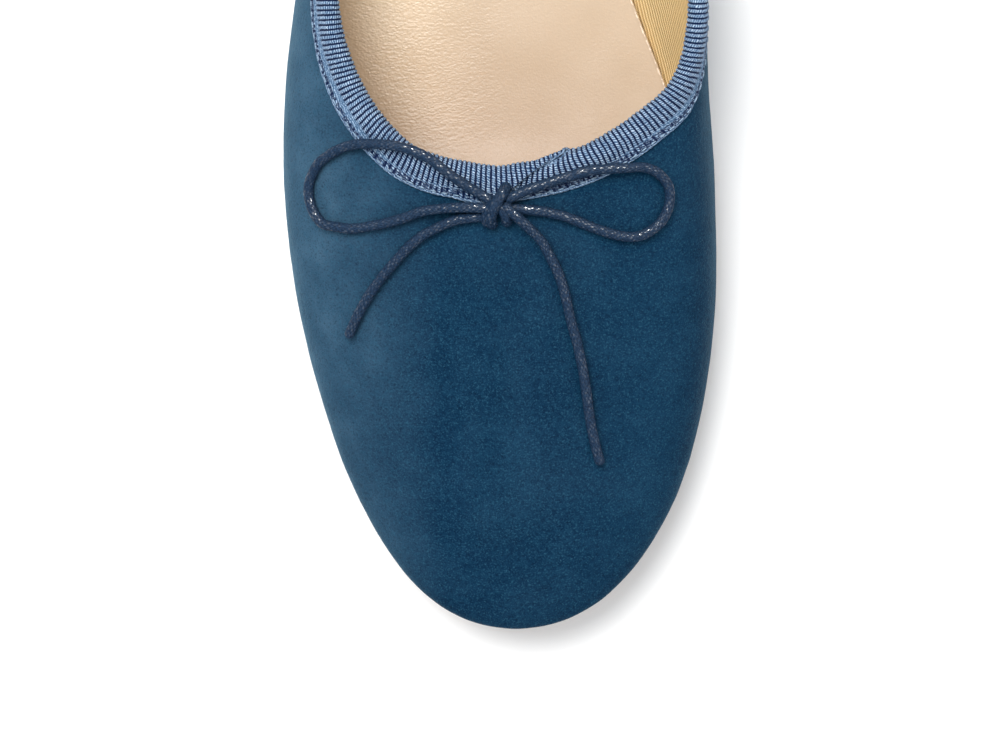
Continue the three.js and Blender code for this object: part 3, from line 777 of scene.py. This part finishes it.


# Crinkled where the foot bends it; painted light along the lateral side, a painted highlight along its raw
# edge, painted shade towards the toe
def sock_material():
    s = material_nodes("sock_leather")
    x, y, _ = s.parts(s.place)
    jolt = s.node("ShaderNodeTexNoise", {"Vector": s.place, "Scale": 900.0}, 1)
    jolt = s.node("ShaderNodeVectorMath", {0: jolt, "Scale": 0.0005}, operation="SCALE")
    warp = s.node("ShaderNodeVectorMath", {0: s.place, 1: jolt}, operation="ADD")
    warp = s.stretch(warp, (0.90, 1.25, 1.0), (0, 0, math.radians(-6)))
    pebble_inputs = {"Vector": warp, "Scale": 1750.0, "Smoothness": 0.5}
    pebble = s.node("ShaderNodeTexVoronoi", pebble_inputs, feature="SMOOTH_F1")
    wrinkle = s.noise(0.0008, 2.0, 0.5, at=warp) * 0.7 - pebble * 0.6
    spread = s.noise(0.012, 2.0) * 0.02
    worn = (x + spread).ramp(0.012, -0.008, 0.16, 1.0) * y.ramp(-0.036, -0.012, 0.30, 1.0)
    grain = s.noise(0.0004, 3.0, 0.6)
    clouds = s.noise(0.018, 2.0, 0.5)
    tone = s.blend(clouds, 0.3, 0.7, (196, 175, 150), (202, 182, 157))
    tone = s.blend(grain, 0.35, 0.7, tone, (196, 169, 141), 0.25)
    # painted light: lighter towards the lateral side, against the shade cast by the lateral wall
    tone = s.blend(x, -0.004, -0.022, tone, (226, 204, 174))
    # painted shade: darker towards the toe under the vamp, most on the lateral side
    painted_vamp_shade = y.ramp(0.010, -0.036) * x.ramp(0.028, 0.008, 0.62, 1.0)
    tone = s.mix(painted_vamp_shade, tone, (165, 134, 103))
    rim = s.node("ShaderNodeAttribute", output="Fac", attribute_name="rim")
    ragged = (s.noise(0.0009, 2.0) - 0.5) * 0.6
    # painted highlight: a pale line along the sock's edge, where it would catch the light
    tone = s.blend(rim + ragged, 0.14, 0.0, tone, (250, 232, 212))
    height = wrinkle * worn + grain * 0.20
    return s.finish(tone, 0.29, height, 0.00014, 0.7, Specular_IOR_Level=0.5)


# Slanted twill lines with a finer cross yarn
def lining_material():
    s = material_nodes("lining_twill")
    around, down, _ = s.weave()
    wander = s.noise(0.005, 2.0) * 0.9
    line = (((around * 0.10 + down).maths("DIVIDE", 0.64) + wander) * 6.2832).maths("SINE")
    weave = line + ((around + down * 0.4) * 17.0).maths("SINE") * 0.35
    speck = s.noise(0.0003, 2.0, 0.6)
    tone = s.blend(weave + speck * 0.8, -0.9, 1.4, (158, 126, 70), (238, 212, 162))
    tone = s.blend(s.noise(0.006, 2.0, 0.5), 0.35, 0.7, tone, (228, 194, 136), 0.4)
    return s.finish(tone, 0.85, weave, 0.00010, 0.6, Specular_IOR_Level=0.2)


def outsole_material():
    s = material_nodes("leather_board")
    grain = s.noise(0.0009, 4.0, 0.65)
    clouds = s.noise(0.014, 3.0, 0.6)
    fleck = s.noise(0.0005, 2.0, 0.7, at=s.stretch(s.place, (1.0, 0.4, 1.0)))
    tone = s.blend(clouds, 0.3, 0.7, (168, 130, 88), (188, 150, 106))
    tone = s.blend(fleck, 0.55, 0.8, tone, (138, 100, 62), 0.5)
    return s.finish(tone, grain.ramp(0.3, 0.7, 0.55, 0.78), grain, 0.00012, 0.5, Specular_IOR_Level=0.35)


def heel_material():
    s = material_nodes("stacked_leather")
    _, _, z = s.parts(s.place)
    layer = (z - 0.0025).maths("DIVIDE", 0.00174).maths("FLOOR")
    streak = s.noise(0.004, 4.0, 0.65, at=s.stretch(s.place, (0.5, 0.5, 5.0)))
    grain = s.noise(0.0004, 3.0, 0.6)
    tone = s.mix((layer * 0.37).maths("FRACT"), (104, 70, 42), (134, 95, 60))
    tone = s.blend(streak, 0.35, 0.7, tone, (84, 54, 32), 0.7)
    roughness = grain.ramp(0.3, 0.7, 0.38, 0.55)
    return s.finish(tone, roughness, streak + grain, 0.00008, 0.5, Coat_Weight=0.15, Coat_Roughness=0.35)


def lift_material():
    s = material_nodes("lift_rubber")
    grain = s.noise(0.0007, 3.0, 0.7)
    tone = s.blend(s.noise(0.009, 3.0, 0.6), 0.4, 0.75, (30, 29, 28), (52, 50, 47), 0.6)
    return s.finish(tone, grain.ramp(0.3, 0.7, 0.7, 0.9), grain, 0.0001, 0.6)


def dress(piece, material, slot_name, *nodes):
    piece.data.materials.append(material)
    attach(piece, "root")
    if nodes:
        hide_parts(*nodes)
    return piece


# Bow: knot, loops and tails of the braided cord
cord_look = cord_material()
knot_routes = (KNOT_WRAP, KNOT_TUCK, KNOT_STUB, KNOT_CORE)
knot_lines = [along_route(route, CORD_STEP)[0] for route in knot_routes]
knot_turns = (0.2, 1.1, 2.3, 0.7)
knot_radius = CORD_DIAMETER / 2 + KNOT_EXTRA
knot = tubes("bow_knot_braided", knot_lines, knot_radius, CORD_SIDES, knot_turns, KNOT_FRAY)
dress(knot, cord_look, "cord", "bow_knot")

CORDS = [
    ("bow_loop_lateral", LOOP_LATERAL, "knot", 0.0),
    ("bow_loop_medial", LOOP_MEDIAL, "knot", 0.4),
    ("bow_tail_lateral", TAIL_LATERAL, "bare", 0.9),
    ("bow_tail_medial", TAIL_MEDIAL, "bare", 1.7),
]
for node, route, far_end, turn in CORDS:
    first, last = KNOT_CENTRE[node]
    route = [first] + route + ([last] if last else [])
    line, length = along_route(route, CORD_STEP)
    piece = tubes(node + "_braided", [line], CORD_DIAMETER / 2 + CORD_EXTRA, CORD_SIDES, [turn])
    dress(piece, cord_look, "cord", node)
    [value * MM for value in route[0]]


# Upper: suede outside with its turned-in margin, twill inside
stations = np.arange(STATIONS) * ROW_COUNT / STATIONS
OUTER_LOW = np.linspace(0, 1, 26)[:-1]
OUTER_HIGH = np.linspace(1, 2, 64)
INNER_SHARES = np.linspace(0, 1, 44)
LINING_SHARES = np.linspace(0, 1, 60)


# Rows of the last between a place and the toe's middle
def rows_from_toe(u):
    return np.abs((u + HEEL_ROW) % ROW_COUNT - HEEL_ROW)


# The drawstring's pulls below the ribbon, pleats under the toe and heel, soft swells and the back seam
def suede_relief(points, u, v):
    from_throat = rows_from_toe(u)
    wave = noise_at(np.stack([u * 2.6, v * 0.9, u * 0 + 4.5], -1), 1.0, 5)
    near_ribbon = smooth(1.55, 1.93, v) * (1 - smooth(3.2, 6.4, from_throat))
    pulls = PULL_DEPTH * wave * near_ribbon
    swell = SWELL_DEPTH * noise_at(points, 15.0, 8) * smooth(0.5, 1.2, v) * (1 - smooth(1.85, 1.97, v))
    fuller = FULLER_DEPTH * hump(u, 20, 5) * hump(v, 1.0, 0.9)
    ripple = RIPPLE_DEPTH * noise_at(points, 3.4, 9)
    pleat = PLEAT_DEPTH * np.sin(u * 21 + 1.5 * np.sin(u * 5)) * (1 - smooth(0.02, 0.42, v))
    toe_or_heel = (1 - smooth(2.0, 4.0, from_throat)) + smooth(11.0, 12.4, from_throat)
    back_seam = -SEAM_DEPTH * hump(u, HEEL_ROW, 0.035) * smooth(0.1, 0.4, v)
    return pulls + swell + fuller + ripple + pleat * toe_or_heel + back_seam


outer_v = np.concatenate([OUTER_LOW, OUTER_HIGH])
u_grid, v_grid = np.meshgrid(stations, outer_v, indexing="ij")
outer_points = face(u_grid, v_grid)
_, outer_out = face_frame(u_grid, v_grid)
relief = suede_relief(outer_points, u_grid, v_grid) * (1 - smooth(1.93, 1.985, v_grid))
outer_points = outer_points + outer_out * (relief - 0.02)[..., None]
margin_x, margin_y = feather_plan(stations, -LASTING_MARGIN)
margin_low = np.stack([margin_x, margin_y, seat(margin_y)], -1)
margin_high = margin_low + (0, 0, SUEDE)
suede_floor = inner_at_height(stations, SUEDE, SUEDE)
inner_v = 2 - INNER_SHARES[None, :] * (2 - suede_floor[:, None])
suede_inner = offset_face(stations[:, None], inner_v, -SUEDE)
suede_points = np.concatenate(
    [outer_points, suede_inner, margin_high[:, None], margin_low[:, None]], axis=1
)
suede = ring_solid("upper_suede", suede_points)
dress(suede, suede_material(), "suede", "upper")

floor_v = inner_at_height(stations, UPPER_WALL)
lining_v = 2 - LINING_SHARES[None, :] * (2 - floor_v[:, None])
lining_inner = offset_face(stations[:, None], lining_v, -UPPER_WALL)
lining_outer = offset_face(stations[:, None], lining_v, -SUEDE - LINING_GAP)
turned_in = np.stack([margin_x, margin_y, seat(margin_y) + UPPER_WALL - 0.02], -1)[:, None]
lining_inner = np.concatenate([lining_inner, turned_in], axis=1)
turned_in = turned_in - (0, 0, UPPER_WALL - SUEDE - LINING_GAP)
lining_outer = np.concatenate([lining_outer, turned_in], axis=1)
lining_points = np.concatenate([lining_inner, lining_outer[:, ::-1]], axis=1)
lining_down = reach_of(lining_inner)
lining_round = reach_of(np.concatenate([lining_inner[:, 20], lining_inner[:1, 20]]))
round_grid = np.repeat(lining_round[:, None], lining_points.shape[1] + 1, axis=1)
down_grid = np.concatenate([lining_down, lining_down[:, ::-1], lining_down[:, :1]], axis=1)
down_grid = np.concatenate([down_grid, down_grid[:1]], axis=0)
lining = ring_solid(
    "upper_lining", lining_points, np.stack([round_grid, down_grid, down_grid * 0], axis=-1)
)
dress(lining, lining_material(), "lining")


# Ribbon: even ribs round the whole topline
dense = np.linspace(0, ROW_COUNT, 2601)
edge = face(dense, 2 + 0 * dense)
edge_reach = reach_of(edge)
edge_length = edge_reach[-1]
RIBS = int(round(edge_length / RIB_PITCH))
ribbon_count = RIBS * RIB_STEPS
ribbon_u = np.interp(np.arange(ribbon_count) * edge_length / ribbon_count, edge_reach, dense)

OUT = GAP + RIBBON_THICKNESS
IN = -UPPER_WALL - GAP - RIBBON_THICKNESS
MIDDLE = -UPPER_WALL / 2
CASING = (
    (CASING_WIDTH + CASING_TAPER, 0.0), (RIBBON_FOLD, CASING_SWELL * 0.8),
    (CASING_WIDTH * 0.35, CASING_SWELL), (-CASING_CREST * 0.25, CASING_SWELL * 0.4),
)
RIBBON_PROFILE = np.array([
    [RIBBON_OUTSIDE, GAP + 0.05],
    [RIBBON_OUTSIDE + 0.02, OUT * 0.72],
    [RIBBON_OUTSIDE - 0.2, OUT],
    *[[down, OUT + swell] for down, swell in CASING],
    [-CASING_CREST * 0.8, GAP * 0.8],
    [-CASING_CREST, MIDDLE],
    [-CASING_CREST * 0.8, -UPPER_WALL - GAP * 0.8],
    *[[down, IN - swell] for down, swell in reversed(CASING)],
    [RIBBON_INSIDE - 0.2, IN],
    [RIBBON_INSIDE, IN + 0.2],
    [RIBBON_INSIDE, -UPPER_WALL - GAP],
])
RIBBON_UNDER = np.array([
    [RIBBON_FOLD, -UPPER_WALL - GAP],
    [-GAP, -UPPER_WALL - GAP],
    [-GAP, GAP],
    [RIBBON_FOLD, GAP],
])
fine_line, profile_length = along_route([[a, b, 0] for a, b in RIBBON_PROFILE], 0.05)
fine_reach = np.linspace(0, profile_length, len(fine_line))
profile_stops = np.concatenate(
    [np.arange(0, 2.4, 0.24), np.arange(2.4, 8.5, 0.42), np.arange(8.5, 13.4, 0.6)]
)
profile_stops = np.append(profile_stops[profile_stops < profile_length - 0.4], profile_length)
profile_line = np.stack([np.interp(profile_stops, fine_reach, fine_line[:, k]) for k in (0, 1)], -1)
profile = np.concatenate([profile_line, RIBBON_UNDER])
columns = len(profile)
visible = len(profile_line)
profile_tangent = np.gradient(profile_line, axis=0)
profile_normal = unit(np.stack([profile_tangent[:, 1], -profile_tangent[:, 0]], -1))
profile_reach = reach_of(profile_line)

pitch = edge_length / RIBS
column_down = profile_line[:, 0]
column_outside = profile_line[:, 1] > MIDDLE
lap_edge = np.interp(column_down, LAP_LINE[:, 0], LAP_LINE[:, 1])
lap_along = np.where(column_outside, lap_edge, LAP_LINE[0, 1] + 0.6)

table = np.linspace(0, 7.5, 61)
v_table = below_top(ribbon_u, table)


# The v of places on the ribbon: along the topline, and down from it
def ribbon_v_at(along, down):
    row = np.mod(along, edge_length) / edge_length * ribbon_count
    column = np.clip(down, 0, 7.4) / table[1]
    r0, c0 = np.floor(row).astype(int) % ribbon_count, np.floor(column).astype(int)
    r1, row_part, column_part = (r0 + 1) % ribbon_count, row - np.floor(row), column - c0
    near = v_table[r0, c0] * (1 - column_part) + v_table[r0, c0 + 1] * column_part
    far = v_table[r1, c0] * (1 - column_part) + v_table[r1, c0 + 1] * column_part
    return near * (1 - row_part) + far * row_part


def station_at(along):
    return np.interp(np.mod(along, edge_length), edge_reach, dense)


# Ribs, gathers and the sewn band; the ribs start anew beyond the lap and lean there
def ribbon_relief(along, count, under_lap):
    down, outside, reach = column_down[:count], column_outside[:count], profile_reach[:count]
    from_lap = np.mod(along, edge_length) - lap_along[:count]
    beyond = smooth(-1.4, -0.8, from_lap) * (1 - smooth(1.0, 15.0, from_lap)) * (1 - under_lap)
    rib_at = along / pitch + beyond * (0.5 + 0.32 * np.clip(down, -1.4, 5.8) / pitch)
    spots = np.stack([rib_at, reach + 0 * rib_at, 0 * rib_at], -1)
    phase = rib_at + 0.10 * noise_at(spots * (0.2, 0.45, 1), 1.0, 21)
    wave = np.abs(np.sin(math.pi * phase)) ** 0.7
    far = rows_from_toe(station_at(along))
    medial_side = np.mod(station_at(along), ROW_COUNT) < HEEL_ROW
    throat = 1 - smooth(3.2, 4.8, far - 1.1 * medial_side)
    from_edge = np.where(outside, RIBBON_OUTSIDE - down, 20.0)
    sewn = 1 - smooth(BAND_END - 0.3, BAND_END + 0.3, from_edge)
    rail = 1 - smooth(RAIL_WIDTH - 0.1, RAIL_WIDTH + 0.2, from_edge)
    depth = (1 - (0.90 - 0.55 * throat) * sewn) * (1 - 0.8 * rail)
    uneven = RIB_UNEVEN * noise_at(spots * (0.8, 0.5, 1), 1.0, 23)
    gather = RIB_GATHER * noise_at(spots * (0.21, 0.18, 1), 1.0, 24)
    gather = gather * (0.35 + 0.9 * (1 - smooth(2.5, 6.5, far))) * hump(down, 0.0, 6.2)
    pressed = smooth(-1.0, 0.0, from_lap) * (1 - smooth(0.5, 5.0, from_lap)) * outside * (1 - under_lap)
    knuckle = hump(np.mod(along, edge_length), LAP_LINE[0, 1] + 0.2, 1.8) * hump(down, -1.4, 1.8)
    lift = RIB_HEIGHT * (wave - 1) * depth + uneven + gather - BAND_SINK * sewn
    lift = lift - LAP_PRESSED * pressed + LAP_KNUCKLE * knuckle
    scallop = EDGE_SCALLOP * (wave - 0.5) * hump(reach, 0.3, 0.9) * outside
    return lift, scallop, phase, throat


# Points of the ribbon from its profile's columns, lifted from the plain form
def ribbon_at(along, downs, outs):
    u = station_at(along)
    v = ribbon_v_at(along, downs)
    up, out = face_frame(u, v)
    return face(u, v) + out * outs[..., None] + up * np.maximum(-downs, 0)[..., None]


along_rows = np.arange(ribbon_count)[:, None] * pitch / RIB_STEPS + 0 * column_down[None, :]
lift, scallop, phase, throat = ribbon_relief(along_rows, visible, 0.0)
lift[:, 0] = 0
lift[:, -1] = 0
downs = np.repeat(profile[:, 0][None, :], ribbon_count, 0)
outs = np.repeat(profile[:, 1][None, :], ribbon_count, 0)
downs[:, :visible] += lift * profile_normal[None, :, 0] + scallop
outs[:, :visible] += lift * profile_normal[None, :, 1]
ribbon_points = ribbon_at(along_rows[:, :1] + 0 * downs, downs, outs)

weave = np.zeros((ribbon_count + 1, columns + 1, 3))
weave[:-1, :visible, 0] = phase
weave[:-1, visible:, 0] = phase[:, -1:]
weave[-1, :, 0] = weave[0, :, 0] + RIBS
weave[:, :visible, 1] = profile_reach
weave[:, visible:, 1] = profile_reach[-1]
weave[:-1, :, 2] = throat[:, :1]
weave[-1, :, 2] = throat[0, 0]
ribbon_look = ribbon_material()
ribbon = ring_solid("topline_ribbon", ribbon_points, weave)
dress(ribbon, ribbon_look, "ribbon", "topline_binding")

# The ribbon's folded end over its start
lap_columns = int(np.argmax(profile_line[:, 1] < -1.9))
lap_rows = int(round(LAP_WIDTH / LAP_STEP)) + 1
share = np.linspace(0, 1, lap_rows)[:, None]
from_end = (1 - share) * LAP_WIDTH
lap_place = lap_along[None, :lap_columns] - from_end
lift, scallop, phase, throat = ribbon_relief(lap_place, lap_columns, 1.0)
roll = LAP_ROLL * (1 - np.sqrt(np.clip(1 - np.clip(1 - from_end / LAP_ROLL, 0, 1) ** 2, 0, 1)))
over_edge = smooth(0.0, 1.2, profile_reach[lap_columns - 1] - profile_reach[:lap_columns])[None, :]
raised = (LAP_RAISE + LAP_UNDER) * smooth(0.0, 0.7, share) * over_edge - LAP_UNDER - roll
normal = profile_normal[None, :lap_columns]
flat = profile_line[None, :lap_columns]


def lap_layer(height):
    downs = flat[..., 0] + height * normal[..., 0] + scallop
    return ribbon_at(lap_place, downs, flat[..., 1] + height * normal[..., 1])


lap_top = lap_layer(lift + raised)
lap_bottom = lap_layer(lift + LAP_FLOOR)
lap_count = lap_rows * lap_columns
top_faces, spots = grid_faces(lap_rows, lap_columns, False, False)
rim = np.concatenate([
    np.arange(lap_columns),
    np.arange(1, lap_rows) * lap_columns + lap_columns - 1,
    (lap_rows - 1) * lap_columns + np.arange(lap_columns - 2, -1, -1),
    np.arange(lap_rows - 2, 0, -1) * lap_columns,
])
rim_next = np.roll(rim, -1)
side_faces = np.stack([rim, rim_next, rim_next + lap_count, rim + lap_count], -1)
lap_faces = np.concatenate([top_faces, top_faces[:, ::-1] + lap_count, side_faces[:, ::-1]])
lap_weave = np.stack([phase, profile_reach[None, :lap_columns] + 0 * phase, throat], -1)
lap_weave[..., 1] = np.where(from_end < 0.3, 0.05, lap_weave[..., 1])
lap_weave = np.tile(lap_weave.reshape(-1, 3), (2, 1))[lap_faces]
lap_points = np.concatenate([lap_top.reshape(-1, 3), lap_bottom.reshape(-1, 3)])
lap_piece = finish_mesh("topline_ribbon_lap", lap_points, lap_faces, lap_weave)
dress(lap_piece, ribbon_look, "ribbon")


# Stitches that hold the ribbon down
stitch_count = int(round(edge_length / STITCH_PITCH))
stitch_share = np.linspace(*STITCH_SHARE, STITCH_POINTS)
stitch_rise = np.sqrt(np.clip(1 - (2 * stitch_share - 1) ** 2 * 1.35, 0, 1))
stitch_lines = []
for i in range(stitch_count):
    u = station_at((i + stitch_share) * (edge_length / stitch_count))
    v = below_top(u, [STITCH_LINE])[:, 0]
    stitch_lines.append(offset_face(u, v, OUT - STITCH_SUNK + STITCH_ARCH * stitch_rise))


def plain_tubes(name, lines, radius, sides):
    points, faces = [], []
    base = 0
    angles = np.arange(sides) * 2 * math.pi / sides
    for line in lines:
        ends = np.sqrt(np.clip(1 - np.linspace(-1, 1, len(line)) ** 8, 0.12, 1))
        points.append(rings_along(line, angles, radius * ends[:, None]).reshape(-1, 3))
        tube_faces, _ = grid_faces(len(line), sides, False, True, base)
        last = base + (len(line) - 1) * sides
        faces += [tube_faces, ring_cap(base, sides), ring_cap(last, sides)[:, ::-1]]
        base += len(line) * sides
    return finish_mesh(name, np.concatenate(points), np.concatenate(faces))


thread = plain_tubes("ribbon_stitches", stitch_lines, STITCH_RADIUS, STITCH_SIDES)
dress(thread, thread_material(), "ribbon")


# Insole with its sock
def plate_outline(outside):
    return np.stack(feather_plan(stations_plate, outside), -1)


stations_plate = np.arange(PLATE_STATIONS) * ROW_COUNT / PLATE_STATIONS
wall_v = inner_at_height(stations_plate, UPPER_WALL + GAP)
wall = offset_face(stations_plate, wall_v, -UPPER_WALL)
edge_normal = np.stack(outward(stations_plate), -1)
insole_edge = wall[:, :2] - edge_normal * INSOLE_CLEARANCE


def shelf(y):
    return seat(y) + UPPER_WALL + GAP


def with_height(plan, height):
    return np.concatenate([plan, np.asarray(height)[..., None]], -1)


# The sock's raised edge: inside the insole's edge, and below its top
SOCK_EDGE = (
    (-0.30, INSOLE_THICKNESS), (-0.34, 0.75), (-0.35, 0.50), (-0.35, 0.16), (-0.30, -0.02),
    (-0.20, -0.09), (-0.06, -0.09), (0.2, -0.03), (0.5, 0.0),
)
core_plan = plate_outline(-LASTING_MARGIN - GAP)
sock_side = [
    with_height(core_plan, seat(core_plan[:, 1])),
    with_height(core_plan, shelf(core_plan[:, 1])),
]
for inside, drop in SOCK_EDGE:
    plan = insole_edge - edge_normal * inside
    sock_side.append(with_height(plan, shelf(plan[:, 1]) + INSOLE_THICKNESS - drop))
sock_side = np.array(sock_side)
sock_bottom = across(sock_side[0], 12)
sock_top = across(sock_side[-1], 60)
sock_top[..., 2] = shelf(sock_top[..., 1]) + INSOLE_THICKNESS
sock_top[..., 2] += 0.10 * noise_at(sock_top, 9.0, 31) * smooth(0, 6, from_outline(sock_top[..., :2]))
sock_bottom[..., 2] = seat(sock_bottom[..., 1])
sock = plate("insole_sock", sock_side, sock_bottom, sock_top)
sock_points = np.zeros(len(sock.data.vertices) * 3)
sock.data.vertices.foreach_get("co", sock_points)
sock_plan = sock_points.reshape(-1, 3)[:, None, :2] / MM
from_rim = np.linalg.norm(sock_plan - insole_edge[None], axis=-1).min(axis=1)
rim = sock.data.attributes.new("rim", "FLOAT", "POINT")
rim.data.foreach_set("value", from_rim.astype(np.float32))
dress(sock, sock_material(), "sock", "insole")


# Outsole: rounded edges and a sewing channel round the forepart
SOLE_EDGE = (
    (0.8, 0.0), (0.45, 0.12), (0.15, 0.4), (0.0, 0.9),
    (0.0, 2.4), (0.1, 2.75), (0.35, 2.95), (0.6, OUTSOLE_THICKNESS),
)
CHANNEL_DEPTH = 0.35
CHANNEL_INSIDE = 4.5
CHANNEL_HALF_WIDTH = 0.9
sole_levels = []
for inside, up in SOLE_EDGE:
    plan = plate_outline(OUTSOLE_EDGE - inside)
    sole_levels.append(with_height(plan, underside(plan[:, 1]) + up))
sole_levels = np.array(sole_levels)
sole_bottom = across(sole_levels[0], 90)
channel = hump(from_outline(sole_bottom), CHANNEL_INSIDE, CHANNEL_HALF_WIDTH)
channel = channel * (1 - smooth(20, 45, sole_bottom[..., 1]))
sole_bottom[..., 2] = underside(sole_bottom[..., 1]) + CHANNEL_DEPTH * channel
sole_top = across(sole_levels[-1], 24)
sole_top[..., 2] = underside(sole_top[..., 1]) + OUTSOLE_THICKNESS
outsole = plate("outsole_leather", sole_levels, sole_bottom, sole_top)
dress(outsole, outsole_material(), "outsole", "outsole")


# Heel: stacked layers with fine grooves between them, over a rounded top lift
def heel_outline(inside):
    steps = np.linspace(0, ROW_COUNT, 1200, endpoint=False)
    x, y = feather_plan(steps, OUTSOLE_EDGE - HEEL_SETBACK - inside)
    breast = HEEL_BREAST - LENGTH / 2 + inside
    keep = y > breast
    arc = np.stack([x[keep], y[keep]], -1)
    start, end = arc[-1], arc[0]
    t = np.linspace(0, 1, 60)[1:-1, None]
    middle = (start + end) / 2 + (0, 2 * BREAST_HOLLOW)
    front = (1 - t) ** 2 * start + 2 * t * (1 - t) * middle + t**2 * end
    loop = np.vstack([arc, front, arc[:1]])
    reach = reach_of(loop)
    spots = np.linspace(0, reach[-1], HEEL_SIDES + 1)[:-1]
    return np.stack([np.interp(spots, reach, loop[:, k]) for k in range(2)], -1)


# A block of the heel from levels, given as distance inside its outline and height
def heel_piece(name, levels):
    rings = np.array([
        with_height(heel_outline(inside), np.full(HEEL_SIDES, height)) for inside, height in levels
    ])
    caps = []
    for ring in (rings[0], rings[-1]):
        centre = ring.mean(axis=0)
        caps.append(np.array([centre + (ring - centre) * share for share in HEEL_CAP_SHARES]))
    return plate(name, rings, caps[0], caps[1], round_caps=True)


heel_bottom = LIFT_THICKNESS + GAP
heel_top = HEEL_HEIGHT - GAP
heel_levels = [(0.25, heel_bottom), (0.06, heel_bottom + 0.1)]
HEEL_GROOVE = ((0.0, -0.16), (0.02, -0.09), (0.16, 0.0), (0.02, 0.09), (0.0, 0.16))
for i in range(1, HEEL_LAYERS):
    middle = heel_bottom + i * (heel_top - heel_bottom) / HEEL_LAYERS
    heel_levels += [(inside, middle + up) for inside, up in HEEL_GROOVE]
heel_levels += [(0.06, heel_top - 0.1), (0.25, heel_top)]
heel = heel_piece("heel_stack", heel_levels)
dress(heel, heel_material(), "heel", "heel_block")
lift_levels = [(0.5, 0.0), (0.2, 0.08), (0.04, 0.3), (0.0, 0.6)]
lift_levels += [(0.0, LIFT_THICKNESS - 0.2), (0.08, LIFT_THICKNESS - 0.05), (0.25, LIFT_THICKNESS)]
top_lift = heel_piece("heel_top_lift_rubber", lift_levels)
dress(top_lift, lift_material(), "lift", "heel_top_lift")


# Floor and light
ROOM_LOW = 0.56
ROOM_HIGH = 1.04
floor_mesh = bpy.data.meshes.new("floor")
work = bmesh.new()
bmesh.ops.create_grid(work, x_segments=8, y_segments=8, size=3.0)
work.to_mesh(floor_mesh)
work.free()
floor = add_object("floor", floor_mesh)
floor_look = material_nodes("floor")
floor_mesh.materials.append(
    floor_look.set(Base_Color=(0.98, 0.98, 0.98, 1), Roughness=0.9, Specular_IOR_Level=0.1)
)

# The room is brightest overhead
room = Shader(bpy.data.worlds.new("studio"), "Background", "Generated")
_, _, height = room.parts(room.place)
room_light = height.ramp(0.0, 1.0, ROOM_LOW, ROOM_HIGH)
bpy.context.scene.world = room.set(Color=(0.97, 0.985, 1.0, 1), Strength=room_light)


def area_light(name, place, size, power, colour):
    data = bpy.data.lights.new(name, "AREA")
    data.shape = "DISK"
    data.size = size
    data.energy = power
    data.color = colour
    light = add_object(name, data)
    light.location = place
    x, y, z = np.array(LIT_PLACE) - np.array(place)
    light.rotation_euler = (math.atan2(math.hypot(x, y), -z), 0, math.atan2(y, x) - math.pi / 2)
    return light


# A large key, and two small lights that only add gloss
LIT_PLACE = (0, -0.04, 0.02)
GLOSS_COLOUR = (1.0, 1.0, 0.97)
area_light("key", (-0.24, 0.37, 1.38), 0.80, 19.2, (1.0, 0.99, 0.97))
area_light("glint", (0.10, 0.82, 1.10), 0.14, 42.0, GLOSS_COLOUR).visible_diffuse = False
area_light("side_glint", (0.80, 0.15, 1.10), 0.14, 20.0, GLOSS_COLOUR).visible_diffuse = False

bpy.context.scene.view_settings.view_transform = "Standard"
